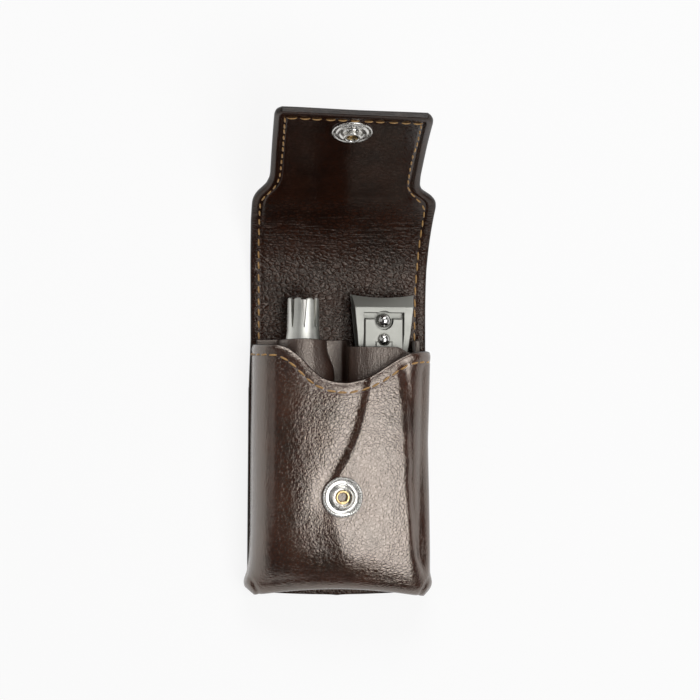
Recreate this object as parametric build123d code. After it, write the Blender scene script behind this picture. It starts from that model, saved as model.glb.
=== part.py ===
from build123d import *
import math
import os

# A snap-closed leather pouch with a raised flap, holding a twist trimmer and a toenail clipper.
# Millimetres. The case lies on its back: X is its width, Y runs from the pouch bottom to the flap,
# Z rises from the table to the front. The origin is on the back, at the middle of the pouch.

# Leather pouch
pouch_width = 58.0
pouch_length = 78.4
leather = 1.2
lining = 0.9
lining_edge = 0.5
front_depth = 25.0
crown_half = 20.5
crown_rise = 1.6
side_lean = 0.7
side_share = 0.35
bend_steps = 4
corner_cut = 3.2
foot_hollow = 2.9
back_corner = 7.0
# Share of the pouch length up from the foot, and the share of the front depth reached there
swell = (
    (-0.03, 0.60),
    (0.07, 0.82),
    (0.19, 0.955),
    (0.35, 1.0),
    (0.475, 1.0),
    (0.72, 0.965),
    (1.04, 0.865),
)

# Curved mouth
dip_centre = 2.5
dip_half = 19.0
dip_point = 14.7
dip_radius = 14.0
lip_radius = 4.0

# Flap, measured along its middle layer from the mouth line
flap_width = pouch_width - 1.0
neck_start = 2.0
tab_width = 46.0
root_flat = 14.0
curl_length = 40.0
curl_angle = 57.0
tab_angle = 13.0
snap_reach = 89.5
snap_to_tip = 9.3
fold_1 = 12.0
fold_2 = 28.0
fold_3 = 52.0
fold_gap = 0.2
shoulder_start = 53.5
shoulder_length = 8.5
shoulder_radius = 5.0
tip_radius = 2.4

# Snap fastener
snap_drop = 46.0
snap_radius = 6.25
snap_lip = 0.9
socket_height = 2.2
socket_mouth = 2.75
stud_radius = 2.55
stud_flange_radius = 6.0
stud_flange = 0.7
stud_height = 2.4
eyelet_radius = 1.8
eyelet_bore = 1.3
eyelet_flange = 0.4
eyelet_head = 4.5
eyelet_curl = 0.15
snap_floor = 0.4
seat_gap = 0.12
ring_wire = 0.25
cap_radius = 6.25
cap_dome = 1.2

# Tool strip with one loop for each tool
strip_half = pouch_width / 2 - 3.0
strip_top = 2.0
strip_length = 62.0
strip = 1.2
loop_gap = 0.35
loop_half = 9.9
loop_eave = 4.8
loop_shoulder = 7.8
loop_roof = 6.7
loop_crown = 7.5

# Twist trimmer
trimmer_x = -11.7
trimmer_z = 10.0
trimmer_rise = 15.4
trimmer_length = 71.5
head_radius = 4.95
barrel_radius = 5.6
head_length = 10.5
flare_length = 3.2
tube_bore = 4.2
slot_count = 8
slot_length = 9.3
slot_width = 1.75
slot_end = 0.5
cutter_gap = 0.08
cutter_wall = 0.9
cutter_drop = 0.6
cutter_slots = 4
knob_radius = 6.0
knob_length = 12.6
knob_gap = 0.3
knob_flutes = 10
flute_radius = 0.7
spindle_radius = 2.6
spring_wire = 0.6
screw_radius = 1.9
screw_head = 0.8

# Toenail clipper
clipper_x = 13.3
clipper_z = 7.3
clipper_roll = 4.0
clipper_rise = 16.6
clipper_length = 74.0
jaw_half = 10.0
neck_half = 7.8
tail_half = 5.6
arm = 1.5
jaw_gap = 2.4
arm_gap = 4.0
edge_hollow = 0.95
edge_land = 0.35
jaw_slope = 5.4
arm_bend = 9.0
pin_back = 8.2
pin_radius = 1.5
ball_radius = 2.2
pin_head = 2.4
pin_head_height = 0.8
lever_half = 6.1
lever = 1.4
lever_gap = 0.25
rail_height = 1.6
rail_level = 12.0
notch_start = 5.7
notch_end = 7.6
seat_radius = 3.0
boss_back = 14.1
boss_radius = 2.05
boss_sink = 0.4
rib_half = 2.7
rib_height = 0.45
rib_tail = 8.0
lever_end = 5.0
rivet_back = 3.6
rivet_radius = 1.4
rivet_head = 2.5
play = 0.15

half_length = pouch_length / 2
flap_thick = leather + lining
flap_mid = flap_thick / 2
snap_y = half_length - snap_drop
tip_reach = snap_reach + snap_to_tip
far = 200.0


def arc_step(point, heading, length, turn):
    """Move along an arc of the given length and turn, in radians; returns the new point and heading."""
    y, z = point
    if turn == 0:
        return (y + length * math.cos(heading), z + length * math.sin(heading)), heading
    radius = length / turn
    end = heading + turn
    y += radius * (math.sin(end) - math.sin(heading))
    z += radius * (math.cos(heading) - math.cos(end))
    return (y, z), end


flap_runs = (
    (root_flat, 0.0),
    (curl_length, math.radians(curl_angle)),
    (tip_reach - root_flat - curl_length, math.radians(tab_angle)),
)


def flap_at(reach, lift=0.0):
    """Point (y, z) on the flap at this reach from the mouth line, lifted off its middle layer."""
    point = (half_length, flap_mid)
    heading = 0.0
    left = reach
    for length, turn in flap_runs:
        step = min(max(left, 0.0), length)
        point, heading = arc_step(point, heading, step, turn * step / length)
        left -= step
    return (point[0] - lift * math.sin(heading), point[1] + lift * math.cos(heading)), heading


def flap_layer(start, end, low, high, width):
    """One layer of the flap between two reaches, as a strip curled in the YZ plane."""
    breaks = [root_flat, root_flat + curl_length]
    stops = [start] + [b for b in breaks if start < b < end] + [end]
    edges = []
    for lift in (low, high):
        for a, b in zip(stops, stops[1:]):
            ends = flap_at(a, lift)[0], flap_at(b, lift)[0]
            if b <= root_flat:
                edges.append(Line(*ends))
            else:
                edges.append(ThreePointArc(ends[0], flap_at((a + b) / 2, lift)[0], ends[1]))
    for reach in (start, end):
        edges.append(Line(flap_at(reach, low)[0], flap_at(reach, high)[0]))
    face = make_face(Curve() + edges)
    return extrude(Plane.YZ * face, width / 2, both=True)


def flap_plane(reach, lift=0.0):
    """Plane on the flap's inner side: local x is the width, local y runs towards the tip."""
    (y, z), heading = flap_at(reach, lift)
    return Plane(origin=(0, y, z), x_dir=(1, 0, 0), z_dir=(0, -math.sin(heading), math.cos(heading)))


def tab_outline():
    """Prism of the flap's end: wide part, shoulders and narrow tab with rounded corners."""
    middle = shoulder_start + shoulder_length / 2
    base = flap_plane(middle)
    wide = flap_width / 2
    narrow = tab_width / 2
    low = -shoulder_length / 2
    high = shoulder_length / 2
    (tip_y, tip_z), _ = flap_at(tip_reach)
    tip = base.to_local_coords(Vector(0, tip_y, tip_z)).Y
    start = base.to_local_coords(Vector(0, *flap_at(fold_3)[0])).Y - leather
    right = [(wide, start), (wide, low), (narrow, high), (narrow, tip)]
    left = [(-x, y) for x, y in reversed(right)]
    corners = [shoulder_radius / 2, shoulder_radius, tip_radius, tip_radius, shoulder_radius, shoulder_radius / 2]
    side = FilletPolyline(*(right + left), radius=[0.01] + corners + [0.01], close=True)
    return extrude(base * make_face(side), far / 8, both=True)


def plate(width, bottom, top, low, high, corner):
    """Flat leather panel with two rounded corners at its bottom edge."""
    half = width / 2
    line = FilletPolyline(
        (-half, top), (-half, bottom), (half, bottom), (half, top), radius=[corner, corner]
    )
    face = make_face(line + Line((half, top), (-half, top)))
    return Pos(0, 0, low) * extrude(face, high - low)


def pouch_section(y, depth, inset):
    """Cross-section of the moulded front at one height: straight sides, round shoulders, low crown."""
    half = pouch_width / 2 - inset
    top = depth - inset
    foot = flap_thick - leather if inset else flap_thick
    turn = flap_thick + side_share * (depth - flap_thick)
    side = half - side_lean
    crown = crown_half - inset / 2
    edge = top - crown_rise
    right = [(half, foot)]
    for step in range(bend_steps + 1):
        angle = math.pi / 2 * step / bend_steps
        right.append((crown + (side - crown) * math.cos(angle), turn + (edge - turn) * math.sin(angle)))
    right.append((crown / 2, top - crown_rise / 4))
    left = [(-x, z) for x, z in reversed(right)]
    plane = Plane(origin=(0, y, 0), x_dir=(1, 0, 0), z_dir=(0, -1, 0))
    return plane * make_face(Polyline(*right, (0, top), *left, close=True))


def pouch_form(inset):
    """Solid inside of the moulded front at this inset, between its foot outline and above the mouth."""
    over = half_length + leather
    sections = [
        pouch_section(pouch_length * share - half_length, front_depth * height, inset)
        for share, height in swell
    ]
    body = loft(sections, ruled=True)
    half = pouch_width / 2
    foot = -half_length
    cut = corner_cut
    outline = Curve() + [
        Line((-half, over + leather), (-half, foot + cut)),
        Line((-half, foot + cut), (-half + cut, foot)),
        ThreePointArc((-half + cut, foot), (0, foot + foot_hollow), (half - cut, foot)),
        Line((half - cut, foot), (half, foot + cut)),
        Line((half, foot + cut), (half, over + leather)),
        Line((half, over + leather), (-half, over + leather)),
    ]
    plan = make_face(outline)
    if inset:
        plan = offset(plan, -inset)
        plan = plan + Pos(0, over) * Rectangle(pouch_width - 2 * inset, 4 * leather)
    return body & extrude(plan, far / 4)


def mouth_cutter():
    """Everything past the curved mouth: two level shoulders and a round dip between them."""
    y = half_length
    points = [
        (-pouch_width, y),
        (dip_centre - dip_half, y),
        (dip_centre, y - dip_point),
        (dip_centre + dip_half, y),
        (pouch_width, y),
    ]
    edge = FilletPolyline(*points, radius=[lip_radius, dip_radius, lip_radius])
    top = y + 8 * leather
    face = make_face(edge + Polyline(points[-1], (pouch_width, top), (-pouch_width, top), points[0]))
    return Pos(0, 0, -1) * extrude(face, far / 4)


def loop_outline(grow):
    """Closed outline in X and Z of the two tool tunnels, grown by a wall; the flat one rolls with its tool."""
    floor = flap_thick - 1.0
    radius = knob_radius + loop_gap + grow
    round_loop = Pos(trimmer_x, trimmer_z) * Circle(radius)
    stem = Pos(trimmer_x, (trimmer_z + floor) / 2) * Rectangle(2 * radius, trimmer_z - floor)
    side = loop_half + grow
    shoulder = loop_shoulder + 0.6 * grow
    roof = loop_roof + 0.8 * grow
    base = floor - clipper_z - 1.0
    points = [(side, base), (side, loop_eave + grow / 2), (shoulder, roof)]
    other = [(-x, z) for x, z in points]
    crown = ThreePointArc((shoulder, roof), (0, loop_crown + grow), (-shoulder, roof))
    flat_loop = make_face(Polyline(*points) + crown + Polyline(*other) + Line(other[0], points[0]))
    return round_loop + stem + Pos(clipper_x, clipper_z) * Rot(0, 0, -clipper_roll) * flat_loop


def tool_strip_solid():
    """One leather strip that lies flat on the lining and arches over each tool."""
    floor = flap_thick
    flat = Pos(0, floor + strip / 2) * Rectangle(2 * strip_half, strip)
    section = flat + loop_outline(strip) - loop_outline(0)
    section = section & (Pos(0, floor + far / 8) * Rectangle(far, far / 4))
    plane = Plane(origin=(0, half_length + strip_top, 0), x_dir=(1, 0, 0), z_dir=(0, -1, 0))
    body = extrude(plane * section, strip_length)
    side = loop_half + 2 * strip
    top = half_length + strip_top
    cut_low = flap_thick + strip + 2.0
    slope = Polyline(
        (-side, top), (-side, top - 5.5), (-side + 4.0, top - 1.9), (side - 4.0, top - 1.9),
        (side, top - 4.0), (side, top), close=True,
    )
    trim = Pos(clipper_x, 0, cut_low) * extrude(make_face(slope), far / 8)
    return body - trim


def around_y(x, z, profile):
    """Turned piece about an axis along Y: the profile's x is the radius and its y lies along the axis."""
    return Pos(x, 0, z) * revolve(profile, Axis.Y)


def turned(plane, points):
    """Turned piece about a plane's normal from (radius, height) points."""
    face = make_face(Polyline(*points, close=True))
    return plane * revolve(Plane.XZ * face, Axis.Z)


def snap_socket_solid(seat):
    """Female half: raised rim, level ring, collar round the mouth and an undercut for the wire."""
    rim = snap_radius
    points = [
        (eyelet_radius + 0.02, 0), (rim, 0), (rim, snap_lip), (rim - 0.35, snap_lip + 0.35),
        (rim - 1.1, snap_lip), (socket_mouth + 1.1, snap_lip + 0.25),
        (socket_mouth + 0.6, socket_height), (socket_mouth, socket_height),
        (socket_mouth, socket_height - 0.55), (socket_mouth + 0.45, socket_height - 0.8),
        (socket_mouth + 0.45, snap_floor), (eyelet_radius + 0.02, snap_floor),
    ]
    return turned(seat, points)


def eyelet_solid(plane, bore):
    """Tubular eyelet: a flat head behind the leather, a barrel through it and an end rolled over the floor."""
    radius = eyelet_radius
    back = -flap_thick - 2 * seat_gap
    floor = snap_floor + 0.02
    curl = eyelet_curl
    roll = radius + 3 * curl
    points = [
        (bore, back - eyelet_flange), (eyelet_head, back - eyelet_flange), (eyelet_head, back), (radius, back),
        (radius, floor), (roll, floor), (roll - curl, floor + 2 * curl), (bore, floor + 2 * curl),
    ]
    return turned(plane, points)


def stud_solid(plane):
    """Male half: dished flange with a raised ring and a hollow knob with a fuller rim."""
    knob = stud_radius
    high = stud_height
    points = [
        (eyelet_radius + 0.02, 0), (stud_flange_radius, 0),
        (stud_flange_radius - 0.2, 0.6), (stud_flange_radius - 1.1, 0.45),
        (stud_flange_radius - 1.7, stud_flange + 0.15), (knob, 0.5), (knob, high - 1.0),
        (knob + 0.1, high - 0.4), (knob - 0.2, high), (knob - 0.8, high),
        (knob - 0.3, snap_floor + 0.5), (knob - 0.3, snap_floor), (eyelet_radius + 0.02, snap_floor),
    ]
    return turned(plane, points)


def cap_solid(plane):
    """Domed cap on the outside of the flap, closed over the eyelet's head."""
    outer = cap_radius
    hollow = eyelet_head + play
    roof = eyelet_flange + 2 * seat_gap
    points = [
        (hollow, 0.02), (outer, 0.02), (outer, 0.6),
        (outer - 1.6, cap_dome), (0, cap_dome + 0.25), (0, roof), (hollow, roof),
    ]
    return turned(plane, points)


def snap_spring_solid(seat):
    """Split wire ring that lies in the socket's undercut and grips the knob."""
    ring = socket_mouth + ring_wire / 2
    section = Pos(ring, 0, 0.95) * Rot(90, 0, 0) * RegularPolygon(ring_wire, 8)
    return seat * Rot(0, 0, 20) * revolve(section, Axis.Z, 320)


trimmer_top = half_length + trimmer_rise
trimmer_foot = trimmer_top - trimmer_length
tube_foot = trimmer_foot + knob_length + knob_gap


def ring_of(solid, count, turn=0.0):
    """Copies of a solid round the trimmer's axis."""
    centre = Axis((trimmer_x, 0, trimmer_z), (0, 1, 0))
    return [solid.rotate(centre, turn + 360 * i / count) for i in range(count)]


def trimmer_tube_solid():
    """Outer sheath: turned tube with a flared waist and a crown of tapered slots with round lands."""
    top = trimmer_top
    neck = top - head_length
    waist = neck - flare_length
    round_off = 0.35
    points = [
        (tube_bore, top), (head_radius - round_off, top), (head_radius, top - round_off),
        (head_radius + 0.15, neck), (barrel_radius, waist), (barrel_radius, tube_foot + 0.4),
        (barrel_radius - 0.4, tube_foot), (tube_bore, tube_foot),
    ]
    body = around_y(trimmer_x, trimmer_z, make_face(Polyline(*points, close=True)))
    half = slot_width / 2
    tip = slot_end / 2
    flare = 0.45
    low = top - slot_length
    slot = Polyline(
        (-half - flare, top + 0.2), (-half - flare / 3, top - flare), (-half, top - 2 * flare), (-tip, low + tip),
        (0, low), (tip, low + tip), (half, top - 2 * flare), (half + flare / 3, top - flare),
        (half + flare, top + 0.2), close=True,
    )
    cutter = Pos(trimmer_x, 0, trimmer_z) * extrude(make_face(slot), 2 * barrel_radius)
    return body - ring_of(cutter, slot_count)


def trimmer_cutter_solid():
    """Inner blade: thin cup that turns in the sheath, with cutting slots and a spindle to the knob."""
    top = trimmer_top - cutter_drop
    radius = tube_bore - cutter_gap
    cup = slot_length + 3.0
    end = tube_foot - knob_gap - knob_length / 2
    points = [
        (radius - cutter_wall, top), (radius, top), (radius, top - cup), (spindle_radius, top - cup - 1.5),
        (spindle_radius, end), (0, end), (0, top - cup), (radius - cutter_wall, top - cup + 1.5),
    ]
    body = around_y(trimmer_x, trimmer_z, make_face(Polyline(*points, close=True)))
    half = slot_width / 2
    slot = Pos(trimmer_x, top, trimmer_z) * Box(
        slot_width, 2 * slot_length, 2 * radius, align=(Align.CENTER, Align.CENTER, Align.MIN)
    )
    turn = 180 / slot_count + math.degrees(half / radius) / 2
    return body - ring_of(slot, cutter_slots, turn)


def trimmer_knob_solid():
    """Turning grip with flutes round it, bored for the spindle."""
    low = trimmer_foot
    high = low + knob_length
    edge = 0.8
    end = tube_foot - knob_gap - knob_length / 2
    points = [
        (0, low + screw_head), (screw_radius + play, low + screw_head), (screw_radius + play, low), (knob_radius - edge, low),
        (knob_radius, low + edge), (knob_radius, high - edge), (knob_radius - edge, high),
        (spindle_radius, high), (spindle_radius, end), (0, end),
    ]
    body = around_y(trimmer_x, trimmer_z, make_face(Polyline(*points, close=True)))
    flute = Pos(trimmer_x, (low + high) / 2, trimmer_z + knob_radius + flute_radius / 2) * Rot(0, 45, 0) * Box(
        1.4 * flute_radius, knob_length - 4 * edge, 1.4 * flute_radius
    )
    return body - ring_of(flute, knob_flutes)


def trimmer_spring_solid():
    """Flat-topped ring spring between the sheath and the blade's shoulder."""
    low = tube_foot + 0.2
    points = [
        (spindle_radius + play, low), (tube_bore - play, low),
        (tube_bore - play, low + 6 * spring_wire), (spindle_radius + play, low + 6 * spring_wire),
    ]
    return around_y(trimmer_x, trimmer_z, make_face(Polyline(*points, close=True)))


def trimmer_screw_solid():
    """Slotted screw in the foot of the grip."""
    low = trimmer_foot
    points = [(0, low + 0.1), (screw_radius, low + 0.1), (screw_radius, low + screw_head), (0, low + screw_head)]
    body = around_y(trimmer_x, trimmer_z, make_face(Polyline(*points, close=True)))
    slot = Pos(trimmer_x, low, trimmer_z) * Box(2 * screw_radius, 0.8, 0.5)
    return body - slot


clipper_tip = half_length + clipper_rise
clipper_place = Pos(clipper_x, clipper_tip, clipper_z) * Rot(0, clipper_roll, 0)


def clipper_plan(front, back, grow=0.0):
    """Plan of an arm between two distances from the cutting edge: flared jaw, waist and round tail."""
    jaw = jaw_half + grow
    neck = neck_half + grow
    tail = tail_half + grow
    end = -clipper_length
    side = [(jaw, 0), (neck + 1.15, -8.0), (neck, -18.0), (tail, end + tail)]
    right = Spline(*side, tangents=[(-0.25, -1), (-0.04, -1)])
    left = mirror(right, Plane.YZ)
    tip = ThreePointArc((jaw, 0), (0, -edge_hollow), (-jaw, 0))
    tail_arc = ThreePointArc((tail, end + tail), (0, end), (-tail, end + tail))
    plan = make_face(right + left + tip + tail_arc)
    window = Pos(0, -(front + back) / 2) * Rectangle(3 * jaw, back - front)
    return plan & window


def arm_side(outer_rail):
    """Side view of one arm, level at the tail rivet, with the jaw bent inwards."""
    end = -clipper_length
    flat = end + 2.2 * rivet_back
    head = -(notch_end + arm_bend)
    lift = arm_gap / 2
    rise = lift + arm
    inner = [(end, play / 2), (flat, play / 2), (head, lift), (-jaw_slope, lift), (0, jaw_gap / 2)]
    edge = [(0, jaw_gap / 2 + edge_land)]
    if outer_rail:
        top = rise + rail_height
        outer = [(-4.0, top), (-rail_level, top), (-rail_level - 7.0, rise)]
    else:
        outer = [(-jaw_slope, rise), (head, rise)]
    return inner + edge + outer + [(flat, arm + play / 2), (end, arm + play / 2)]


def arm_blank(outer_rail):
    """Arm cut from its side view and its plan."""
    points = [(y, z) for y, z in arm_side(outer_rail)]
    side = extrude(Plane.YZ * make_face(Polyline(*points, close=True)), 2 * jaw_half, both=True)
    plan = extrude(clipper_plan(-2.0, clipper_length + 2.0), 4 * jaw_half, both=True)
    return side & plan


def lever_bed():
    """Recess of the upper arm that the folded lever lies in, with a cross notch and a round seat."""
    floor = arm_gap / 2 + arm
    deep = 8 * rail_height
    half = lever_half + lever_gap
    channel = Pos(0, -(notch_end + far / 2), floor) * Box(
        2 * half, far, deep, align=(Align.CENTER, Align.CENTER, Align.MIN)
    )
    notch_mid = (notch_start + notch_end) / 2
    notch = Pos(0, -notch_mid, floor - 0.6) * Box(
        2 * half, notch_end - notch_start + 0.02, deep, align=(Align.CENTER, Align.CENTER, Align.MIN)
    )
    seat = Pos(0, -pin_back, floor - 0.6) * Cylinder(
        seat_radius, deep, align=(Align.CENTER, Align.CENTER, Align.MIN)
    )
    return channel + notch + seat


def bore_at(back, radius):
    """Round hole through the whole clipper at this distance behind the cutting edge."""
    return Pos(0, -back, 0) * Cylinder(radius, 8 * arm_gap)


def clipper_upper_solid():
    """Upper arm with rails beside the lever and a jaw that slopes to its edge."""
    body = arm_blank(True) - lever_bed() - bore_at(pin_back, pin_radius + 2 * play)
    return body - bore_at(clipper_length - rivet_back, rivet_radius + play)


def clipper_lower_solid():
    """Lower arm, the plain mirror of the upper one without rails."""
    body = mirror(arm_blank(False), Plane.XY)
    return body - bore_at(pin_back, pin_radius) - bore_at(clipper_length - rivet_back, rivet_radius + play)


def clipper_lever_solid():
    """Folded lever, face down in its bed: shouldered head round the ball, long rib, round thumb end."""
    low = arm_gap / 2 + arm + lever_gap / 2
    length = clipper_length - notch_end - lever_end
    front = -notch_end
    end = front - length
    half = lever_half
    narrow = tail_half - 0.6
    blank = make_face(
        Polyline((-narrow, end + narrow), (-half, end / 2), (-half, front), (half, front), (half, end / 2), (narrow, end + narrow))
        + ThreePointArc((narrow, end + narrow), (0, end), (-narrow, end + narrow))
    )
    body = Pos(0, 0, low) * extrude(blank, lever)
    edges = body.faces().sort_by(Axis.Z)[-1].edges()
    body = chamfer(edges, 0.3)
    rib_start = boss_back + 0.6
    rib_long = length + notch_end - rib_start - rib_tail
    rib = Pos(0, -rib_start - rib_long / 2, low + lever) * Box(
        2 * rib_half, rib_long, rib_height, align=(Align.CENTER, Align.CENTER, Align.MIN)
    )
    rib = chamfer(rib.faces().sort_by(Axis.Z)[-1].edges(), rib_height * 0.8)
    rib -= Pos(0, -boss_back, low + lever) * Cylinder(boss_radius, 4 * rib_height)
    seat = Pos(0, -pin_back, 0) * Cylinder(seat_radius, far / 8)
    return body + rib - seat


def clipper_pin_solid():
    """Pin through both arms: flat head below, shaft, waist and a ball above."""
    low = -(arm_gap / 2 + arm + 0.1)
    ball_z = arm_gap / 2 + arm + rail_height - 0.4
    neck = pin_radius - 0.3
    shaft = Pos(0, -pin_back, low) * Cylinder(pin_radius, ball_z - low, align=(Align.CENTER, Align.CENTER, Align.MIN))
    head = Pos(0, -pin_back, low - pin_head_height) * Cylinder(
        pin_head, pin_head_height, align=(Align.CENTER, Align.CENTER, Align.MIN)
    )
    groove = Pos(0, -pin_back, ball_z - ball_radius - 0.2) * (Cylinder(2 * pin_radius, 0.5) - Cylinder(neck, 0.5))
    ball = Pos(0, -pin_back, ball_z) * Sphere(ball_radius)
    return shaft + head - groove + ball


def clipper_boss_solid():
    """Dome-headed stud set in the lever behind the ball."""
    low = arm_gap / 2 + arm + lever_gap / 2 + lever
    dome = Pos(0, -boss_back, low - boss_sink) * Sphere(boss_radius)
    keep = Pos(0, -boss_back, low) * Cylinder(
        2 * boss_radius, 2 * boss_radius, align=(Align.CENTER, Align.CENTER, Align.MIN)
    )
    return dome & keep


def clipper_rivet_solid():
    """Tail rivet that holds both arms together."""
    reach = arm + play
    back = clipper_length - rivet_back
    shank = Pos(0, -back, 0) * Cylinder(rivet_radius, 2 * reach)
    lower_head = Pos(0, -back, -reach - 0.3) * Cylinder(rivet_head, 0.6)
    upper_head = Pos(0, -back, reach + 0.3) * Cylinder(rivet_head, 0.6)
    return shank + lower_head + upper_head


def build_case():
    """Pouch, lining, tool strip and the female half of the snap."""
    seat = Plane(origin=(0, snap_y, front_depth), x_dir=(1, 0, 0), z_dir=(0, 0, 1))
    hole = Pos(0, snap_y, front_depth) * Cylinder(eyelet_radius, 8 * leather)
    root = half_length + fold_1 - fold_gap / 2
    outer = plate(pouch_width, -half_length, root, 0, leather, back_corner)
    inner = plate(pouch_width - 2 * lining_edge, -half_length + lining_edge, root, leather, flap_thick, back_corner)
    neck = Pos(0, half_length + (fold_1 + neck_start) / 2, flap_mid) * Box(far, fold_1 - neck_start, 2 * flap_thick)
    keep = Pos(0, 0, flap_mid) * Box(flap_width, far, 2 * flap_thick)
    trim = neck - keep
    shell = pouch_form(0) - pouch_form(leather) - mouth_cutter() - hole
    inside = pouch_form(leather) - pouch_form(leather + lining) - mouth_cutter() - hole
    floor = Pos(0, 0, flap_thick) * Box(far, far, far, align=(Align.CENTER, Align.CENTER, Align.MIN))
    eyelet = eyelet_solid(seat, eyelet_bore)
    return {
        "back_outer": outer - trim,
        "back_lining": inner - trim,
        "front_shell": shell & floor,
        "front_lining": inside & floor,
        "tool_strip": tool_strip_solid(),
        "snap_socket": snap_socket_solid(seat),
        "snap_spring": snap_spring_solid(seat),
        "socket_eyelet": eyelet,
    }


def build_flap():
    """Three leather lengths that fold in turn, with the male half of the snap on the last."""
    low = -flap_mid
    joint = leather - flap_mid
    high = flap_mid
    nodes = {}
    spans = (("bridge", fold_1, fold_2), ("throat", fold_2, fold_3), ("tab", fold_3, tip_reach))
    outline = tab_outline()
    through = flap_plane(snap_reach) * Cylinder(eyelet_radius, 4 * flap_thick)
    for name, start, end in spans:
        start += fold_gap / 2
        end -= fold_gap / 2 if name != "tab" else 0
        outer = flap_layer(start, end, low, joint, flap_width)
        inner = flap_layer(start, end, joint, high, flap_width)
        if name == "tab":
            outer = (outer & outline) - through
            inner = (inner & outline) - through
        nodes[name + "_outer"] = outer
        nodes[name + "_lining"] = inner
    inside = flap_plane(snap_reach, high + seat_gap)
    outside = flap_plane(snap_reach, low)
    back = Plane(origin=outside.origin, x_dir=outside.x_dir, z_dir=-outside.z_dir)
    nodes["snap_stud"] = stud_solid(inside)
    nodes["stud_eyelet"] = eyelet_solid(inside, eyelet_bore - 0.3)
    nodes["snap_cap"] = cap_solid(back)
    return nodes


def build_tools():
    """The trimmer and the clipper, standing out of the strip as for picking."""
    nodes = {
        "trimmer_tube": trimmer_tube_solid(),
        "trimmer_cutter": trimmer_cutter_solid(),
        "trimmer_knob": trimmer_knob_solid(),
        "trimmer_spring": trimmer_spring_solid(),
        "trimmer_screw": trimmer_screw_solid(),
    }
    clipper = {
        "clipper_upper_arm": clipper_upper_solid(),
        "clipper_lower_arm": clipper_lower_solid(),
        "clipper_lever": clipper_lever_solid(),
        "clipper_pin": clipper_pin_solid(),
        "clipper_boss": clipper_boss_solid(),
        "clipper_rivet": clipper_rivet_solid(),
    }
    for name, solid in clipper.items():
        nodes[name] = clipper_place * solid
    return nodes


def main():
    os.makedirs("parts", exist_ok=True)
    nodes = build_case() | build_flap() | build_tools()
    for name, solid in nodes.items():
        export_step(solid, f"parts/{name}.step")


main()
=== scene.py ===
import math

import bmesh
import bpy
import numpy as np
from mathutils import Matrix


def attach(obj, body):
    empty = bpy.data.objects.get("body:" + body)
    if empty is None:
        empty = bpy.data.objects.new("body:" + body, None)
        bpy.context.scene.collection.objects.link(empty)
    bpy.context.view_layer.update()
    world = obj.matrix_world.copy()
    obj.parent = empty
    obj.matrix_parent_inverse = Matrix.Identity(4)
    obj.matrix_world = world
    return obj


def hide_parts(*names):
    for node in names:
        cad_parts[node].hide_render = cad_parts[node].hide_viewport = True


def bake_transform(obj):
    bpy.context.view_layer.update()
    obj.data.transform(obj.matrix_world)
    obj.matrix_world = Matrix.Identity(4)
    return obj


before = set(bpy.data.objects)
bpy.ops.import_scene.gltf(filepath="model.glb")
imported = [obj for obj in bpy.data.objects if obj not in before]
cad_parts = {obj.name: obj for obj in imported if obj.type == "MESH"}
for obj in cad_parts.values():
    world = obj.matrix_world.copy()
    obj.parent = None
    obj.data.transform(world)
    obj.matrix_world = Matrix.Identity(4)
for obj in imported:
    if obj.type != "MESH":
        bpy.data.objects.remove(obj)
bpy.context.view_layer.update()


# Back panel
# A flat sheet of smooth brown leather with a thin lining glued to it, sewn round its border and
# painted dark along the cut edge. It is the case's spine and carries the pouch and the flap.

half_length = 39.2
half_width = 29.0
outer_leather = 1.2
lining = 0.9
wall = outer_leather + lining
foot_corner = 7.0
back_seam = 26.0


def blurred(x, points, width):
    """A broken line through (place, value) points, softened by a bell of the given width."""
    table = np.array(points, float)
    steps = np.linspace(-3.0, 3.0, 25) * width
    weight = np.exp(-0.5 * (steps / max(width, 1e-6)) ** 2)
    spread = np.asarray(x, float)[..., None] + steps
    return (np.interp(spread, table[:, 0], table[:, 1]) * weight).sum(-1) / weight.sum()


def ramp(x, low, high):
    """0 below low, 1 above high, and 3t^2 - 2t^3 between them."""
    t = np.clip((np.asarray(x, float) - low) / (high - low), 0.0, 1.0)
    return t * t * (3.0 - 2.0 * t)


def drift(x, y, scale, seed):
    """Slow uneven waviness between about -1 and 1: the mean of six slanted sines of unlike pitch."""
    total = 0.0
    for k in range(6):
        angle = seed * 1.7 + k * 2.399
        pitch = scale * (0.6 + 0.23 * k)
        along = (x * math.cos(angle) + y * math.sin(angle)) / pitch
        total = total + np.sin(along * 2 * math.pi + seed + 1.3 * k)
    return total / 6.0


def grid_quads(rows, columns, first=0):
    """The four-sided faces of a grid whose points are numbered row by row."""
    index = first + np.arange(rows * columns).reshape(rows, columns)
    return np.stack([index[:-1, :-1], index[:-1, 1:], index[1:, 1:], index[1:, :-1]], -1).reshape(-1, 4)


def outward(points, faces):
    """Turns the faces of a closed mesh outwards.

    Its volume, the sum of a.(b x c) over its triangles, comes out positive.
    """
    a, b, c, d = (points[faces[:, k]] for k in range(4))
    volume = (np.cross(a, b) * c).sum() + (np.cross(a, c) * d).sum()
    return faces if volume > 0 else faces[:, ::-1]


def piece(name, points, faces, materials, shade=None, smooth=True):
    """A mesh object from points in millimetres and faces; shade holds one material number per face."""
    mesh = bpy.data.meshes.new(name)
    faces = [sorted(set(f), key=f.index) for f in faces.tolist()] if isinstance(faces, np.ndarray) else faces
    mesh.from_pydata((np.asarray(points, float) * 0.001).tolist(), [], faces)
    for material in materials:
        mesh.materials.append(material)
    if shade is not None:
        mesh.polygons.foreach_set("material_index", np.asarray(shade, np.int32))
    mesh.polygons.foreach_set("use_smooth", np.full(len(mesh.polygons), smooth))
    mesh.update()
    item = bpy.data.objects.new(name, mesh)
    bpy.context.scene.collection.objects.link(item)
    return item


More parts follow.
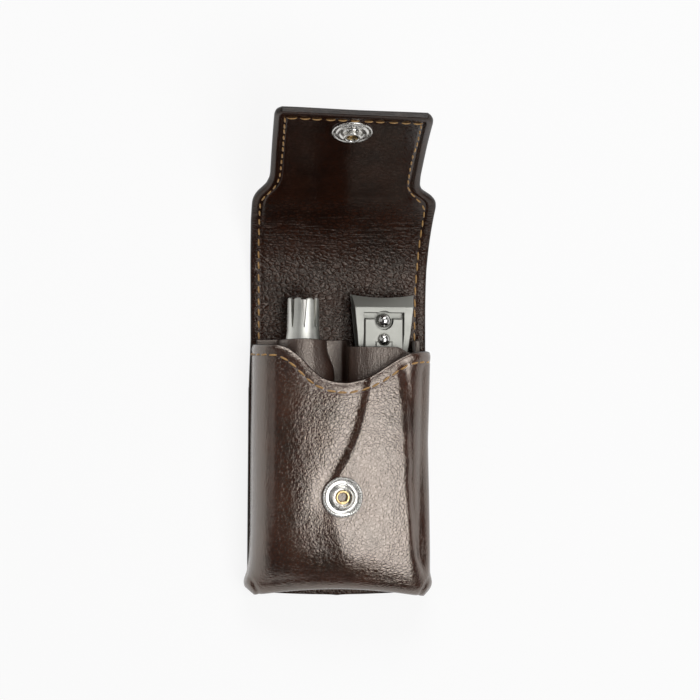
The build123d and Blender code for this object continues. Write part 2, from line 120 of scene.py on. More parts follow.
def leather_slab(name, outer, inner, materials, cut=(False, False), bulge=0.42, groove=0.16):
    """A closed piece of lined leather from the grids of its two faces.

    Seven rows join them all round. Each row lies on the straight line from face to face, moved
    outwards by 4t(1-t) of the bulge, less a bell-shaped groove where the two layers are glued.
    Rows next to a plain cut, where the neighbour carries on, are left flat and their rim stays sharp.
    """
    n, m = outer.shape[:2]
    i = np.concatenate(
        [np.zeros(m - 1, int), np.arange(n - 1), np.full(m - 1, n - 1), np.arange(n - 1, 0, -1)]
    )
    j = np.concatenate(
        [np.arange(m - 1), np.full(n - 1, m - 1), np.arange(m - 1, 0, -1), np.zeros(n - 1, int)]
    )
    away = outer[i, j] - outer[np.clip(i, 1, n - 2), np.clip(j, 1, m - 2)]
    plain = ((i == 0) & cut[0]) | ((i == n - 1) & cut[1])
    along = (((j == 0) | (j == m - 1)) & plain)[:, None]
    side = outer[i, j] - outer[i, np.clip(j, 1, m - 2)]
    away = np.where(along, side, away)
    away = away / np.maximum(np.linalg.norm(away, axis=1, keepdims=True), 1e-9)
    t = np.linspace(0.0, 1.0, 9)[1:-1]
    share = outer_leather / wall
    profile = bulge * 4 * t * (1 - t) - groove * np.exp(-(((t - share) / 0.07) ** 2))
    strength = np.where(plain & (j > 0) & (j < m - 1), 0.0, 1.0)
    rows = [
        outer[i, j] * (1 - a) + inner[i, j] * a + away * (b * strength)[:, None] for a, b in zip(t, profile)
    ]
    points = np.concatenate([outer.reshape(-1, 3), inner.reshape(-1, 3)] + rows)
    count = len(i)
    rings = [i * m + j, n * m + i * m + j] + [2 * n * m + k * count + np.arange(count) for k in range(len(t))]
    rings = [rings[0]] + rings[2:] + [rings[1]]
    walls = [np.stack([np.roll(a, -1), a, b, np.roll(b, -1)], -1) for a, b in zip(rings, rings[1:])]
    top = grid_quads(n, m)
    faces = np.concatenate([top, grid_quads(n, m, n * m)[:, ::-1]] + walls)
    shade = np.concatenate([np.ones(len(top)), np.zeros(len(top)), np.full(len(faces) - 2 * len(top), 2)])
    item = piece(name, points, outward(points, faces), materials, shade)
    if any(cut):
        capped = np.zeros(len(points), bool)
        for ring in rings:
            capped[ring[plain]] = True
        ends = np.empty(len(item.data.edges) * 2, np.int32)
        item.data.edges.foreach_get("vertices", ends)
        sharp = capped[ends.reshape(-1, 2)].all(1)
        item.data.attributes.new("sharp_edge", "BOOLEAN", "EDGE").data.foreach_set("value", sharp)
    return item


def add(tree, kind, values=(), **settings):
    """A node of this kind with its settings and its sockets' values."""
    node = tree.nodes.new(kind)
    for key, value in settings.items():
        setattr(node, key, value)
    for socket, value in dict(values).items():
        node.inputs[socket].default_value = value
    return node


def wire(tree, source, output, target, socket):
    tree.links.new(source.outputs[output], target.inputs[socket])


def effect(name, inputs, outputs):
    """An empty node group with named float, vector or colour sockets."""
    group = bpy.data.node_groups.new(name, "ShaderNodeTree")
    for socket, kind, value in inputs:
        made = group.interface.new_socket(socket, in_out="INPUT", socket_type="NodeSocket" + kind)
        if value is not None:
            made.default_value = value
    for socket, kind in outputs:
        group.interface.new_socket(socket, in_out="OUTPUT", socket_type="NodeSocket" + kind)
    return group, add(group, "NodeGroupInput"), add(group, "NodeGroupOutput")


def math_node(tree, operation, a, b=None, clamp=False):
    """One arithmetic step; a and b are numbers or (node, output) pairs."""
    node = add(tree, "ShaderNodeMath", operation=operation, use_clamp=clamp)
    for k, value in enumerate((a, b)):
        if isinstance(value, tuple):
            wire(tree, value[0], value[1], node, k)
        elif value is not None:
            node.inputs[k].default_value = value
    return node


# Grain of a hide: domed cells with creases between them, a finer net inside, and soft pores
hide_grain, given, result = effect(
    "hide_grain",
    [("Vector", "Vector", None), ("Cell", "Float", 1.0), ("Fine", "Float", 0.4), ("Pull", "Float", 1.0)],
    [("Height", "Float"), ("Crease", "Float")],
)
pull = add(hide_grain, "ShaderNodeCombineXYZ", {"Y": 1.0, "Z": 1.0})
wire(hide_grain, given, "Pull", pull, "X")
stretched = add(hide_grain, "ShaderNodeVectorMath", operation="MULTIPLY")
wire(hide_grain, given, "Vector", stretched, 0)
wire(hide_grain, pull, "Vector", stretched, 1)
stir = add(hide_grain, "ShaderNodeTexNoise", {"Scale": 420.0, "Detail": 2.0})
wire(hide_grain, given, "Vector", stir, "Vector")
shift = add(hide_grain, "ShaderNodeVectorMath", operation="MULTIPLY_ADD")
shift.inputs[1].default_value = (0.0011, 0.0011, 0.0011)
wire(hide_grain, stir, "Color", shift, 0)
wire(hide_grain, stretched, "Vector", shift, 2)
pitch = math_node(hide_grain, "DIVIDE", 1000.0, (given, "Cell"))
cells = add(hide_grain, "ShaderNodeTexVoronoi", feature="DISTANCE_TO_EDGE")
wire(hide_grain, shift, "Vector", cells, "Vector")
wire(hide_grain, pitch, "Value", cells, "Scale")
domes = add(hide_grain, "ShaderNodeMapRange", {"From Max": 0.30}, interpolation_type="SMOOTHSTEP")
wire(hide_grain, cells, "Distance", domes, "Value")
finer = add(hide_grain, "ShaderNodeTexVoronoi", feature="DISTANCE_TO_EDGE")
wire(hide_grain, shift, "Vector", finer, "Vector")
wire(hide_grain, math_node(hide_grain, "MULTIPLY", (pitch, "Value"), 2.3), "Value", finer, "Scale")
net = add(hide_grain, "ShaderNodeMapRange", {"From Max": 0.22}, interpolation_type="SMOOTHSTEP")
wire(hide_grain, finer, "Distance", net, "Value")
pores = add(hide_grain, "ShaderNodeTexNoise", {"Detail": 3.0})
wire(hide_grain, shift, "Vector", pores, "Vector")
wire(hide_grain, math_node(hide_grain, "MULTIPLY", (pitch, "Value"), 1.1), "Value", pores, "Scale")
inner_net = math_node(hide_grain, "MULTIPLY", (net, "Result"), (given, "Fine"))
joined = math_node(hide_grain, "ADD", (domes, "Result"), (inner_net, "Value"))
height = math_node(hide_grain, "ADD", (joined, "Value"), (pores, "Fac"))
wire(hide_grain, height, "Value", result, "Height")
wire(hide_grain, domes, "Result", result, "Crease")

# Long wrinkles of bent leather: ridges of a noise that is stretched along one direction
bend_lines, given, result = effect(
    "bend_lines",
    [("Vector", "Vector", None), ("Along", "Vector", (60.0, 700.0, 700.0)), ("Sharp", "Float", 5.0)],
    [("Height", "Float")],
)
drawn = add(bend_lines, "ShaderNodeVectorMath", operation="MULTIPLY")
wire(bend_lines, given, "Vector", drawn, 0)
wire(bend_lines, given, "Along", drawn, 1)
bands = add(bend_lines, "ShaderNodeTexNoise", {"Scale": 1.0, "Detail": 3.0, "Distortion": 0.4})
wire(bend_lines, drawn, "Vector", bands, "Vector")
offset = math_node(bend_lines, "SUBTRACT", (bands, "Fac"), 0.5)
fold = math_node(bend_lines, "ABSOLUTE", (offset, "Value"))
ridge = math_node(bend_lines, "MULTIPLY", (fold, "Value"), (given, "Sharp"), clamp=True)
wire(bend_lines, ridge, "Value", result, "Height")

# Fine random scratches, as on anything carried in a pocket: thin ridges of two crossed stretched noises
pocket_wear, given, result = effect(
    "pocket_wear", [("Vector", "Vector", None), ("Size", "Float", 1.0)], [("Mask", "Float")]
)
marks = []
for lean in ((40.0, 900.0, 500.0), (800.0, 60.0, 400.0)):
    turned_field = add(pocket_wear, "ShaderNodeMapping", {"Rotation": (0.0, 0.0, 0.35), "Scale": lean})
    wire(pocket_wear, given, "Vector", turned_field, "Vector")
    field = add(pocket_wear, "ShaderNodeTexNoise", {"Detail": 2.0, "Distortion": 1.2})
    wire(pocket_wear, turned_field, "Vector", field, "Vector")
    wire(pocket_wear, given, "Size", field, "Scale")
    centred = math_node(pocket_wear, "SUBTRACT", (field, "Fac"), 0.5)
    line = math_node(pocket_wear, "ABSOLUTE", (centred, "Value"))
    marks.append(math_node(pocket_wear, "LESS_THAN", (line, "Value"), 0.006))
both = math_node(pocket_wear, "MAXIMUM", (marks[0], "Value"), (marks[1], "Value"))
wire(pocket_wear, both, "Value", result, "Mask")


def surface(name):
    """A material with its Principled shader, Object coordinates and bump node, returned in that order."""
    material = bpy.data.materials.new(name)
    material.use_nodes = True
    tree = material.node_tree
    shader = tree.nodes["Principled BSDF"]
    place = add(tree, "ShaderNodeTexCoord")
    bump = add(tree, "ShaderNodeBump")
    wire(tree, bump, "Normal", shader, "Normal")
    return material, tree, shader, place, bump


def placed(tree, group, place, values=()):
    node = add(tree, "ShaderNodeGroup", node_tree=group)
    for socket, value in dict(values).items():
        node.inputs[socket].default_value = value
    wire(tree, place, "Object", node, "Vector")
    return node


def two_tones(tree, mask, output, dark, light):
    """A colour that runs from dark to light with a mask."""
    mix = add(tree, "ShaderNodeMix", data_type="RGBA")
    mix.inputs[6].default_value = (*dark, 1.0)
    mix.inputs[7].default_value = (*light, 1.0)
    wire(tree, mask, output, mix, 0)
    return mix


def polished_hide(name, dark, light, cell, rough, depth, pull=1.0, glaze=1.72):
    """Brown glazed leather: grain for relief, painted shade that darkens the creases, and glaze rubbed
    uneven.

    cell is the grain's pitch and depth its height in mm; glaze is the finish's index of refraction.
    """
    material, tree, shader, place, bump = surface(name)
    grain = placed(tree, hide_grain, place, {"Cell": cell, "Fine": 0.45, "Pull": pull})
    cloud = add(tree, "ShaderNodeTexNoise", {"Scale": 90.0, "Detail": 4.0})
    wire(tree, place, "Object", cloud, "Vector")
    worn = add(tree, "ShaderNodeMapRange", {"From Min": 0.3, "From Max": 0.7, "To Min": 0.0, "To Max": 0.55})
    wire(tree, cloud, "Fac", worn, "Value")
    # Painted shade: the colour runs darker in the grain's creases, and the cloud adds uneven wear on top.
    crease_shade_and_wear = math_node(tree, "MULTIPLY_ADD", (grain, "Crease"), 0.45)
    wire(tree, worn, "Result", crease_shade_and_wear, 2)
    colour = two_tones(tree, crease_shade_and_wear, "Value", dark, light)
    wire(tree, colour, 2, shader, "Base Color")
    gloss = add(tree, "ShaderNodeMapRange", {"To Min": rough + 0.10, "To Max": rough - 0.03})
    wire(tree, grain, "Crease", gloss, "Value")
    wire(tree, gloss, "Result", shader, "Roughness")
    wire(tree, grain, "Height", bump, "Height")
    bump.inputs["Distance"].default_value = depth * 0.001
    bump.inputs["Strength"].default_value = 1.0
    shader.inputs["IOR"].default_value = glaze
    shader.inputs["Specular IOR Level"].default_value = 1.0
    shader.inputs["Specular Tint"].default_value = (1.0, 0.90, 0.80, 1.0)
    return material, tree, shader, place, bump, grain


outer_hide = polished_hide(
    "outer_hide", (0.014, 0.0045, 0.0025), (0.070, 0.0250, 0.0140), 1.05, 0.15, 0.032, 0.8
)[0]

# The lining is dyed darker. It is smooth on the tab, wrinkled where the flap bends, and pebbled by the
# mouth, so its relief fades with height above the table
lining_hide, tree, shader, place, bump, grain = polished_hide(
    "lining_hide", (0.007, 0.0028, 0.0018), (0.038, 0.0130, 0.0068), 1.25, 0.13, 0.075, 0.7, glaze=1.30
)
apart = add(tree, "ShaderNodeSeparateXYZ")
wire(tree, place, "Object", apart, "Vector")
rising = add(
    tree, "ShaderNodeMapRange", {"From Min": 0.0035, "From Max": 0.0125, "To Min": 1.0, "To Max": 0.10}
)
wire(tree, apart, "Z", rising, "Value")
creased = placed(tree, bend_lines, place, {"Along": (110.0, 950.0, 950.0), "Sharp": 7.0})
band_low = add(tree, "ShaderNodeMapRange", {"From Min": 0.0045, "From Max": 0.008})
band_high = add(
    tree, "ShaderNodeMapRange", {"From Min": 0.012, "From Max": 0.019, "To Min": 1.0, "To Max": 0.12}
)
wire(tree, apart, "Z", band_low, "Value")
wire(tree, apart, "Z", band_high, "Value")
band = math_node(tree, "MULTIPLY", (band_low, "Result"), (band_high, "Result"))
pebbles = math_node(tree, "MULTIPLY", (grain, "Height"), (rising, "Result"))
wrinkles = math_node(tree, "MULTIPLY", (creased, "Height"), (band, "Value"))
relief = math_node(tree, "ADD", (pebbles, "Value"), (wrinkles, "Value"))
wire(tree, relief, "Value", bump, "Height")

# Cut edges are painted with dark edge dye and rubbed smooth
painted_edge, tree, shader, place, bump = surface("painted_edge")
fibres = placed(tree, bend_lines, place, {"Along": (260.0, 260.0, 1400.0), "Sharp": 4.0})
edge_dye = two_tones(tree, fibres, "Height", (0.011, 0.006, 0.004), (0.030, 0.016, 0.010))
wire(tree, edge_dye, 2, shader, "Base Color")
wire(tree, fibres, "Height", bump, "Height")
bump.inputs["Distance"].default_value = 0.00006
shader.inputs["Roughness"].default_value = 0.42

hides = [lining_hide, outer_hide, painted_edge]
border = np.array([0.0, 0.12, 0.3, 0.55, 0.85, 1.2, 1.6, 2.0, 2.4, 2.7, 3.0, 3.3, 3.7, 4.2])
middle = np.linspace(0.0, 1.0, 44)[1:-1]


def across(left, right):
    """Places across a strip: close rows along each border and even ones between them."""
    left = np.asarray(left, float)[:, None]
    right = np.asarray(right, float)[:, None]
    core = (left + 4.2) * (1 - middle) + (right - 4.2) * middle
    return np.concatenate([left + border, core, right - border[::-1]], 1)


def rolled(distance, seam):
    """How far a face sinks near its border: a burnished rim 1.4 mm wide and a furrow under the seam."""
    rim = np.clip(1 - distance / 1.4, 0, 1)
    furrow = np.exp(-(((distance - seam) / 0.5) ** 2))
    return 0.30 * rim**2 + 0.16 * furrow - 0.05 * ramp(seam + 1.5 - distance, 0, 1.5)


turn = np.linspace(0, math.pi / 2, 14)
corner_y = -half_length + foot_corner
back_rows = np.concatenate([np.linspace(back_seam, corner_y, 58), corner_y - foot_corner * np.sin(turn[1:])])
below = np.clip(corner_y - back_rows, 0, None)
corner_in = foot_corner - np.sqrt(np.maximum(foot_corner**2 - below**2, 0))
back_x = across(-28.2 + corner_in, 28.5 - corner_in)
foot_bow = np.clip(1 - (back_x / 25.0) ** 2, 0, 1)
back_y = back_rows[:, None] - 0.9 * ramp(-back_rows, 10, half_length)[:, None] * foot_bow
near_side = np.minimum(back_x - back_x[:, :1], back_x[:, -1:] - back_x)
near_edge = np.minimum(near_side, back_rows[:, None] + half_length)
sink = rolled(near_edge, 2.9)
back_outer = np.stack([back_x, back_y, 0.02 + 0.8 * sink], -1)
back_inner = np.stack([back_x, back_y, wall - 0.8 * sink], -1)
back_panel = leather_slab("back_panel", back_outer, back_inner, hides, cut=(True, False))
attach(back_panel, "case")
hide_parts("back_outer", "back_lining")


# Moulded front
# One piece of the same leather and lining, wetted and stretched over the tools, then folded under
# at the foot and glued and sewn to the back. Its curved mouth is cut, painted and stitched.

front_depth = 25.0
crown_half = 20.5
crown_rise = 1.6
mouth_line = (
    (-32, 39.4), (-28, 39.6), (-24, 39.7), (-20.5, 39.75), (-17.6, 39.0), (-13.2, 36.0), (-10, 32.6),
    (-6.75, 29.8), (-3, 28.5), (1.3, 28.1), (6, 29.1), (10, 30.8), (16.2, 34.9), (20.6, 37.3), (25, 37.8),
    (32, 37.5),
)
depth_line = (
    (-0.03, 0.60), (0.02, 0.71), (0.07, 0.82), (0.12, 0.89), (0.18, 0.945), (0.27, 0.985), (0.41, 1.0),
    (0.60, 0.985), (0.80, 0.935), (1.04, 0.865),
)
valley_line = (
    (-39, 2.5), (-31, 0.5), (-26, -0.8), (-13.8, -4.7), (-1, -4.3), (4.6, -0.4), (10.7, 2.2), (17, 4.1),
    (25, 5.9), (32, 7.0),
)
crease_line = (
    (-36, 28.0), (-32, 26.4), (-23.7, 23.4), (-14, 21.6), (-1.6, 20.3), (13.8, 19.7), (25.5, 18.4),
    (32, 17.6), (38, 17.2),
)


def front_depth_at(y):
    """Height of the front's crown above the table at each y."""
    return front_depth * blurred((y + half_length) / (2 * half_length), depth_line, 0.018)


def foot_line(x):
    """Lower edge of the front: a shallow hollow between two corners that are cut at 45 degrees."""
    reach = np.abs(x)
    return np.where(
        reach < 25.8, -half_length + 2.9 * (1 - (reach / 25.8) ** 2), -half_length + 0.85 * (reach - 25.8)
    )


def front_relief(x, y):
    """What the tools and wear press into the front, in mm along its normal.

    A swelling over the trimmer, a valley with a long left and a short right flank, a facet that falls
    to the right over the clipper, a bend with fine wrinkles along the crease, and slow unevenness.
    """
    fade = ramp(y, -36, -24) * ramp(41 - y, 0, 10)
    off = x - blurred(y, valley_line, 2.5)
    dent = -0.34 * np.exp(-((off / np.where(off < 0, 4.0, 1.5)) ** 2)) * ramp(y, -22, 6) * ramp(41 - y, 0, 8)
    spread = np.where(off < 2.4, 1.5 + 2.5 * ramp(-y, 0, 18), 12.0)
    crest = 0.30 * np.exp(-(((off - 2.4) / spread) ** 2)) * fade
    crease = blurred(y, crease_line, 1.5) + 0.22 * np.sin(y / 1.9) * np.sin(y / 5.3 + 1)
    facet = -0.055 * np.clip(off - 2.4, 0, crease - x + off - 2.4) * fade
    left = 0.35 * np.exp(-(((x + 15) / 6.5) ** 2)) * fade
    gap = x - crease
    along = ramp(y, -37, -28) * ramp(37 - y, 0, 6)
    bend_down = -0.92 * ramp(gap, -0.8, 3.0) * along
    beside = np.exp(-(((gap - 1.4) / 1.3) ** 2))
    wrinkle = 0.045 * np.sin(gap * 6.0 + 1.6 * np.sin(y / 2.3) + np.sin(y / 0.9)) * beside * along
    seat = -0.35 * np.exp(-(((x**2 + (y + 6.8) ** 2) / 8.0**2) ** 2))
    slow = 0.10 * drift(x, y, 24, 1.0)
    quick = 0.03 * drift(x, y, 6, 2.0)
    return dent + crest + facet + left + bend_down + wrinkle + seat + slow + quick


def front_profile(t, h):
    """Half of the cross-section for t from 0 at the middle to 1 at the table, at crown height h.

    A parabola over the crown, a cubic Bezier round the shoulder, and a straight, slightly leaning side.
    """
    low = wall + 0.35 * (h - wall)
    x1, z1 = crown_half, h - crown_rise
    x4, z4 = 28.3, low
    a = np.clip(t / 0.5, 0, 1)
    crown_x, crown_z = crown_half * a, h - crown_rise * a**2
    b = np.clip((t - 0.5) / 0.32, 0, 1)
    x2, z2 = x1 + 4.4, z1 - 4.4 * 2 * crown_rise / crown_half
    x3, z3 = x4 - 0.15, z4 + 0.55 * (z1 - z4)
    bend_x = (1 - b) ** 3 * x1 + 3 * (1 - b) ** 2 * b * x2 + 3 * (1 - b) * b**2 * x3 + b**3 * x4
    bend_z = (1 - b) ** 3 * z1 + 3 * (1 - b) ** 2 * b * z2 + 3 * (1 - b) * b**2 * z3 + b**3 * z4
    c = np.clip((t - 0.82) / 0.18, 0, 1)
    side_x, side_z = x4 + 0.3 * c, z4 + (1.95 - z4) * c
    x = np.where(t < 0.5, crown_x, np.where(t < 0.82, bend_x, side_x))
    z = np.where(t < 0.5, crown_z, np.where(t < 0.82, bend_z, side_z))
    return x, z


def normals_of(grid):
    """Unit normals of a grid: the cross product of its differences along rows and columns."""
    du = np.gradient(grid, axis=0)
    dv = np.gradient(grid, axis=1)
    n = np.cross(dv, du)
    return n / np.maximum(np.linalg.norm(n, axis=-1, keepdims=True), 1e-9)


half_t = np.concatenate(
    [np.linspace(0, 0.5, 44), np.linspace(0.5, 0.82, 30)[1:], np.linspace(0.82, 1.0, 16)[1:]]
)
front_t = np.concatenate([-half_t[:0:-1], half_t])
flat_x = np.sign(front_t) * front_profile(np.abs(front_t), np.full(front_t.shape, 24.0))[0]
top_y = blurred(flat_x, mouth_line, 0.7)
low_y = foot_line(flat_x)
bend = 4.2
down = np.concatenate([[0, 0.0022, 0.006, 0.011, 0.018], np.linspace(0.027, 1.0, 118)])
y_grid = top_y + (low_y + bend - top_y) * down[:, None]
foot_lag = 0.14 * flat_x * ramp(-y_grid, 8, 26)
x_half, z_grid = front_profile(np.abs(front_t)[None, :], front_depth_at(y_grid + foot_lag))
x_grid = np.sign(front_t) * x_half
angle = np.linspace(0, math.pi / 2, 15)[1:, None]
last_z = z_grid[-1]
round_y = low_y + bend - bend * np.sin(angle)
floor_z = np.minimum(last_z, 1.7 + 0 * last_z)
round_drop = np.minimum(bend * 1.1, 0.5 * (last_z - floor_z))
slope = (z_grid[-1] - z_grid[-2]) / (y_grid[-1] - y_grid[-2])
run_on = slope * bend * np.sin(angle) * np.cos(angle) ** 2 * 0.6
round_z = last_z - run_on - (round_drop + 0.25 * slope * bend) * (1 - np.cos(angle))
wall_t = np.linspace(0, 1, 16)[1:, None]
wall_y = np.broadcast_to(low_y, wall_t.shape[:1] + low_y.shape)
wall_z = round_z[-1] + (floor_z - round_z[-1]) * wall_t
y_all = np.concatenate([y_grid, round_y, wall_y])
z_all = np.concatenate([z_grid, round_z, wall_z])

below_foot = [np.broadcast_to(x_grid[-1], part.shape) for part in (round_y, wall_y)]
x_all = np.concatenate([np.broadcast_to(x_grid, y_grid.shape)] + below_foot)
left_swell = ((-40, -0.6), (-35.5, -0.5), (-32, 0.0), (-28, 0.4), (-20, 0.7), (10, 0.7), (38, 0.95))
right_swell = ((-39, 0.9), (-25, 0.7), (-10, 0.3), (0, 0.0), (10, -0.2), (25, 0.1), (38, 0.4))
left_side = blurred(y_all, left_swell, 1.0)
right_side = blurred(y_all, right_swell, 1.0)
x_all = x_all + left_side * ramp(-x_all, 8, 27) + right_side * ramp(x_all, 8, 27)
ear = np.exp(-(((y_all + 35.4) / 2.6) ** 2)) * ramp(np.abs(x_all), 22, 28) * ramp(z_all, 0, 4)
x_all = x_all + np.sign(x_all) * 0.75 * ear
front_outer = np.stack([x_all, y_all, z_all], -1)
flat_normal = normals_of(front_outer)
flat_normal *= np.sign((flat_normal * (front_outer - np.array([0, 0, 4.0]))).sum(-1, keepdims=True))
on_top = ramp(28.2 - np.abs(x_all), 0, 2) * ramp(y_all - low_y, 0.5, 3)
relief_height = front_relief(x_all, y_all) * on_top
pleat = np.abs(np.abs(x_all) - 25.4 - 0.55 * (y_all + 38))
relief_height = relief_height - 0.5 * np.exp(-((pleat / 0.6) ** 2)) * np.exp(-(((y_all + 36) / 2.6) ** 2))
from_mouth = top_y[None, :] - y_all
lean = np.hypot(1.0, np.gradient(top_y, flat_x + 1e-6 * np.arange(len(flat_x))).clip(-1.2, 1.2))
mouth_distance = np.clip(from_mouth / lean, 0, None)
relief_height = relief_height - rolled(mouth_distance, 3.0)
front_outer = front_outer + flat_normal * relief_height[..., None]
front_normal = normals_of(front_outer)
front_normal *= np.sign((front_normal * flat_normal).sum(-1, keepdims=True))
painted_rim = 0.30 * np.clip(1 - mouth_distance / 1.4, 0, 1) ** 2
front_inner = front_outer - flat_normal * (wall - painted_rim)[..., None]
front_inner[..., 2] = np.maximum(front_inner[..., 2], 1.2)
moulded_front = leather_slab("moulded_front", front_outer, front_inner, hides, bulge=0.36)
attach(moulded_front, "case")
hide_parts("front_shell", "front_lining")


# Tool strip
# A single strip of thinner leather glued across the back's lining. It arches over each tool to make
# a loop, and the mouths of the loops are cut and left with raw painted edges.

strip = 1.2
strip_half = 26.0
strip_top = 41.2
strip_foot = -20.8
trimmer_x = -11.7
loop_points = (
    (-strip_half, wall + 0.6), (-20.8, wall + 0.6), (-19.0, 2.9), (-18.6, 5.0), (-18.65, 10.0),
    (-18.0, 13.0), (-16.4, 15.4), (-14.2, 16.7), (-11.7, 17.0), (-9.2, 16.7), (-7.0, 15.4), (-5.4, 13.0),
    (-4.75, 10.0), (-4.8, 5.0), (-4.3, 2.9), (-2.6, wall + 0.6), (-0.9, wall + 0.6), (1.6, 2.9),
    (2.75, 5.0), (2.85, 8.0), (3.0, 12.2), (5.3, 14.4), (9.0, 15.5), (13.5, 15.5), (18.0, 14.6),
    (21.4, 13.0), (23.9, 10.9), (23.75, 7.0), (23.7, 4.6), (24.2, 2.9), (strip_half, wall + 0.6),
)
path_points = np.array(loop_points, float)
run = np.concatenate([[0], np.cumsum(np.hypot(*np.diff(path_points, axis=0).T))])
u = np.linspace(0, run[-1], 260)
strip_x = blurred(u, np.stack([run, path_points[:, 0]], 1), 0.45)
strip_z = blurred(u, np.stack([run, path_points[:, 1]], 1), 0.45)
strip_x[[0, -1]] = -strip_half, strip_half
v = np.concatenate([[0, 0.15, 0.4, 0.8], np.linspace(1.4, strip_top - strip_foot, 60)])
lip = np.interp(u, run, np.where((path_points[:, 0] > 2) & (path_points[:, 1] > 6), 1.9, 0.0))
lip = lip + np.interp(u, run, np.where((path_points[:, 0] > 20) & (path_points[:, 1] > 6), 2.0, 0.0))
lip = lip - 0.5 * np.exp(-(((strip_x - trimmer_x) / 5.5) ** 2)) * ramp(strip_z, 5, 14)
start_y = strip_top - blurred(u, np.stack([u, lip], 1), 0.8)
sy = start_y[None, :] - v[:, None] * (start_y - strip_foot)[None, :] / (strip_top - strip_foot)
flare = ramp(strip_top - sy, 1.5, 11)
loose = ramp(strip_z, 3.2, 9.0) * np.exp(-(((strip_x + 5.0) / 3.2) ** 2))
sx = strip_x[None, :] + 2.6 * flare * loose
sz = strip_z[None, :] + 0.35 * flare * ramp(strip_z, 4, 12) - 1.2 * flare * loose
sx = sx + 0.10 * drift(u[None, :], sy, 9, 3.0) * ramp(strip_z, 3.2, 6)
sz = sz + 0.10 * drift(u[None, :], sy, 11, 4.0) * ramp(strip_z, 3.2, 6)
strip_mid = np.stack([sx, sy, sz], -1)
strip_normal = normals_of(strip_mid)
strip_normal *= np.sign(strip_normal[:, :1, 2:3])
rim = 0.16 * np.clip(1 - v / 0.8, 0, 1)[:, None, None] ** 2
strip_hide, tree, shader, place, bump, grain = polished_hide(
    "strip_hide", (0.014, 0.0055, 0.004), (0.046, 0.017, 0.010), 0.95, 0.33, 0.04
)
gathers = placed(tree, bend_lines, place, {"Along": (620.0, 90.0, 320.0), "Sharp": 5.0})
apart = add(tree, "ShaderNodeSeparateXYZ")
wire(tree, place, "Object", apart, "Vector")
over_clipper = add(
    tree, "ShaderNodeMapRange", {"From Min": 0.001, "From Max": 0.006, "To Min": 0.1, "To Max": 2.2}
)
wire(tree, apart, "X", over_clipper, "Value")
gathered = math_node(tree, "MULTIPLY", (gathers, "Height"), (over_clipper, "Result"))
relief = math_node(tree, "ADD", (grain, "Height"), (gathered, "Value"))
wire(tree, relief, "Value", bump, "Height")
tool_strip = leather_slab(
    "tool_strip_leather",
    strip_mid + strip_normal * (strip / 2 - rim),
    strip_mid - strip_normal * (strip / 2 - rim),
    [lining_hide, strip_hide, painted_edge],
    bulge=0.2,
    groove=0.0,
)
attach(tool_strip, "case")
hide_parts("tool_strip")


# Flap
# The back's two layers carry on past the mouth as the flap: straight by the pouch, curled where it
# folds over, then stepped in at two shoulders to a narrow tab.

root_flat = 14.0
curl_length, curl_turn = 40.0, math.radians(57.0)
tip_reach = 98.8
tab_length, tab_turn = tip_reach - root_flat - curl_length, math.radians(13.0)
mid = wall / 2
left_line = (
    (-14, -28.5), (2, -28.0), (15, -28.1), (28, -28.3), (42, -28.4), (49, -28.2), (51.2, -27.9),
    (53.6, -27.0), (56, -25.4), (58.1, -24.2), (61.6, -23.25), (64, -23.05), (80, -23.05), (95.5, -23.0),
    (97.3, -22.8), (98.3, -22.0), (99.2, -20.5),
)
right_line = (
    (-14, 28.5), (0, 28.1), (12, 28.0), (24.9, 28.1), (33.9, 28.5), (42, 29.0), (48.3, 29.4), (50.5, 29.1),
    (52.4, 28.0), (54.2, 26.0), (55.8, 24.3), (58.5, 23.3), (64, 23.0), (80, 23.1), (95.6, 23.25),
    (97.2, 22.9), (98.4, 22.2), (99.2, 21.0),
)
left_seam = (
    (-14, -25.5), (2, -25.4), (21, -25.6), (33, -25.8), (43, -25.8), (49.5, -25.75), (51.6, -25.4),
    (56.1, -22.3), (59.7, -20.8), (63.7, -20.1), (78, -19.75), (95.6, -19.9),
)
right_seam = (
    (-14, 25.2), (2.4, 24.4), (17.4, 24.5), (28, 25.0), (34, 25.2), (40.3, 25.6), (47.5, 25.9),
    (49.3, 25.6), (54.9, 21.3), (57.6, 19.7), (60, 19.3), (70, 19.2), (77, 19.3), (82, 19.9), (95.6, 19.8),
)


def flap_point(x, reach, lift):
    """A point of the flap, lifted along its normal.

    The flap is flat for root_flat, then an arc of 57 degrees over 40 mm, then an arc of 13 degrees.
    """
    reach = np.asarray(reach, float)
    first = np.clip(reach - root_flat, 0, curl_length) / curl_length * curl_turn
    second = np.clip(reach - root_flat - curl_length, 0, None) / tab_length * tab_turn
    r1, r2 = curl_length / curl_turn, tab_length / tab_turn
    heading = first + second
    y = half_length + np.minimum(reach, root_flat)
    y = y + r1 * np.sin(first) + r2 * (np.sin(heading) - np.sin(first))
    z = mid + r1 * (1 - np.cos(first)) + r2 * (np.cos(first) - np.cos(heading))
    return np.stack(np.broadcast_arrays(x, y - lift * np.sin(heading), z + lift * np.cos(heading)), -1)


def skewed(x, reach):
    """The tab's end is cut 3 degrees out of square, so its reach falls from left to right."""
    return reach + (0.4 - 0.058 * x) * ramp(reach, 62, 98)


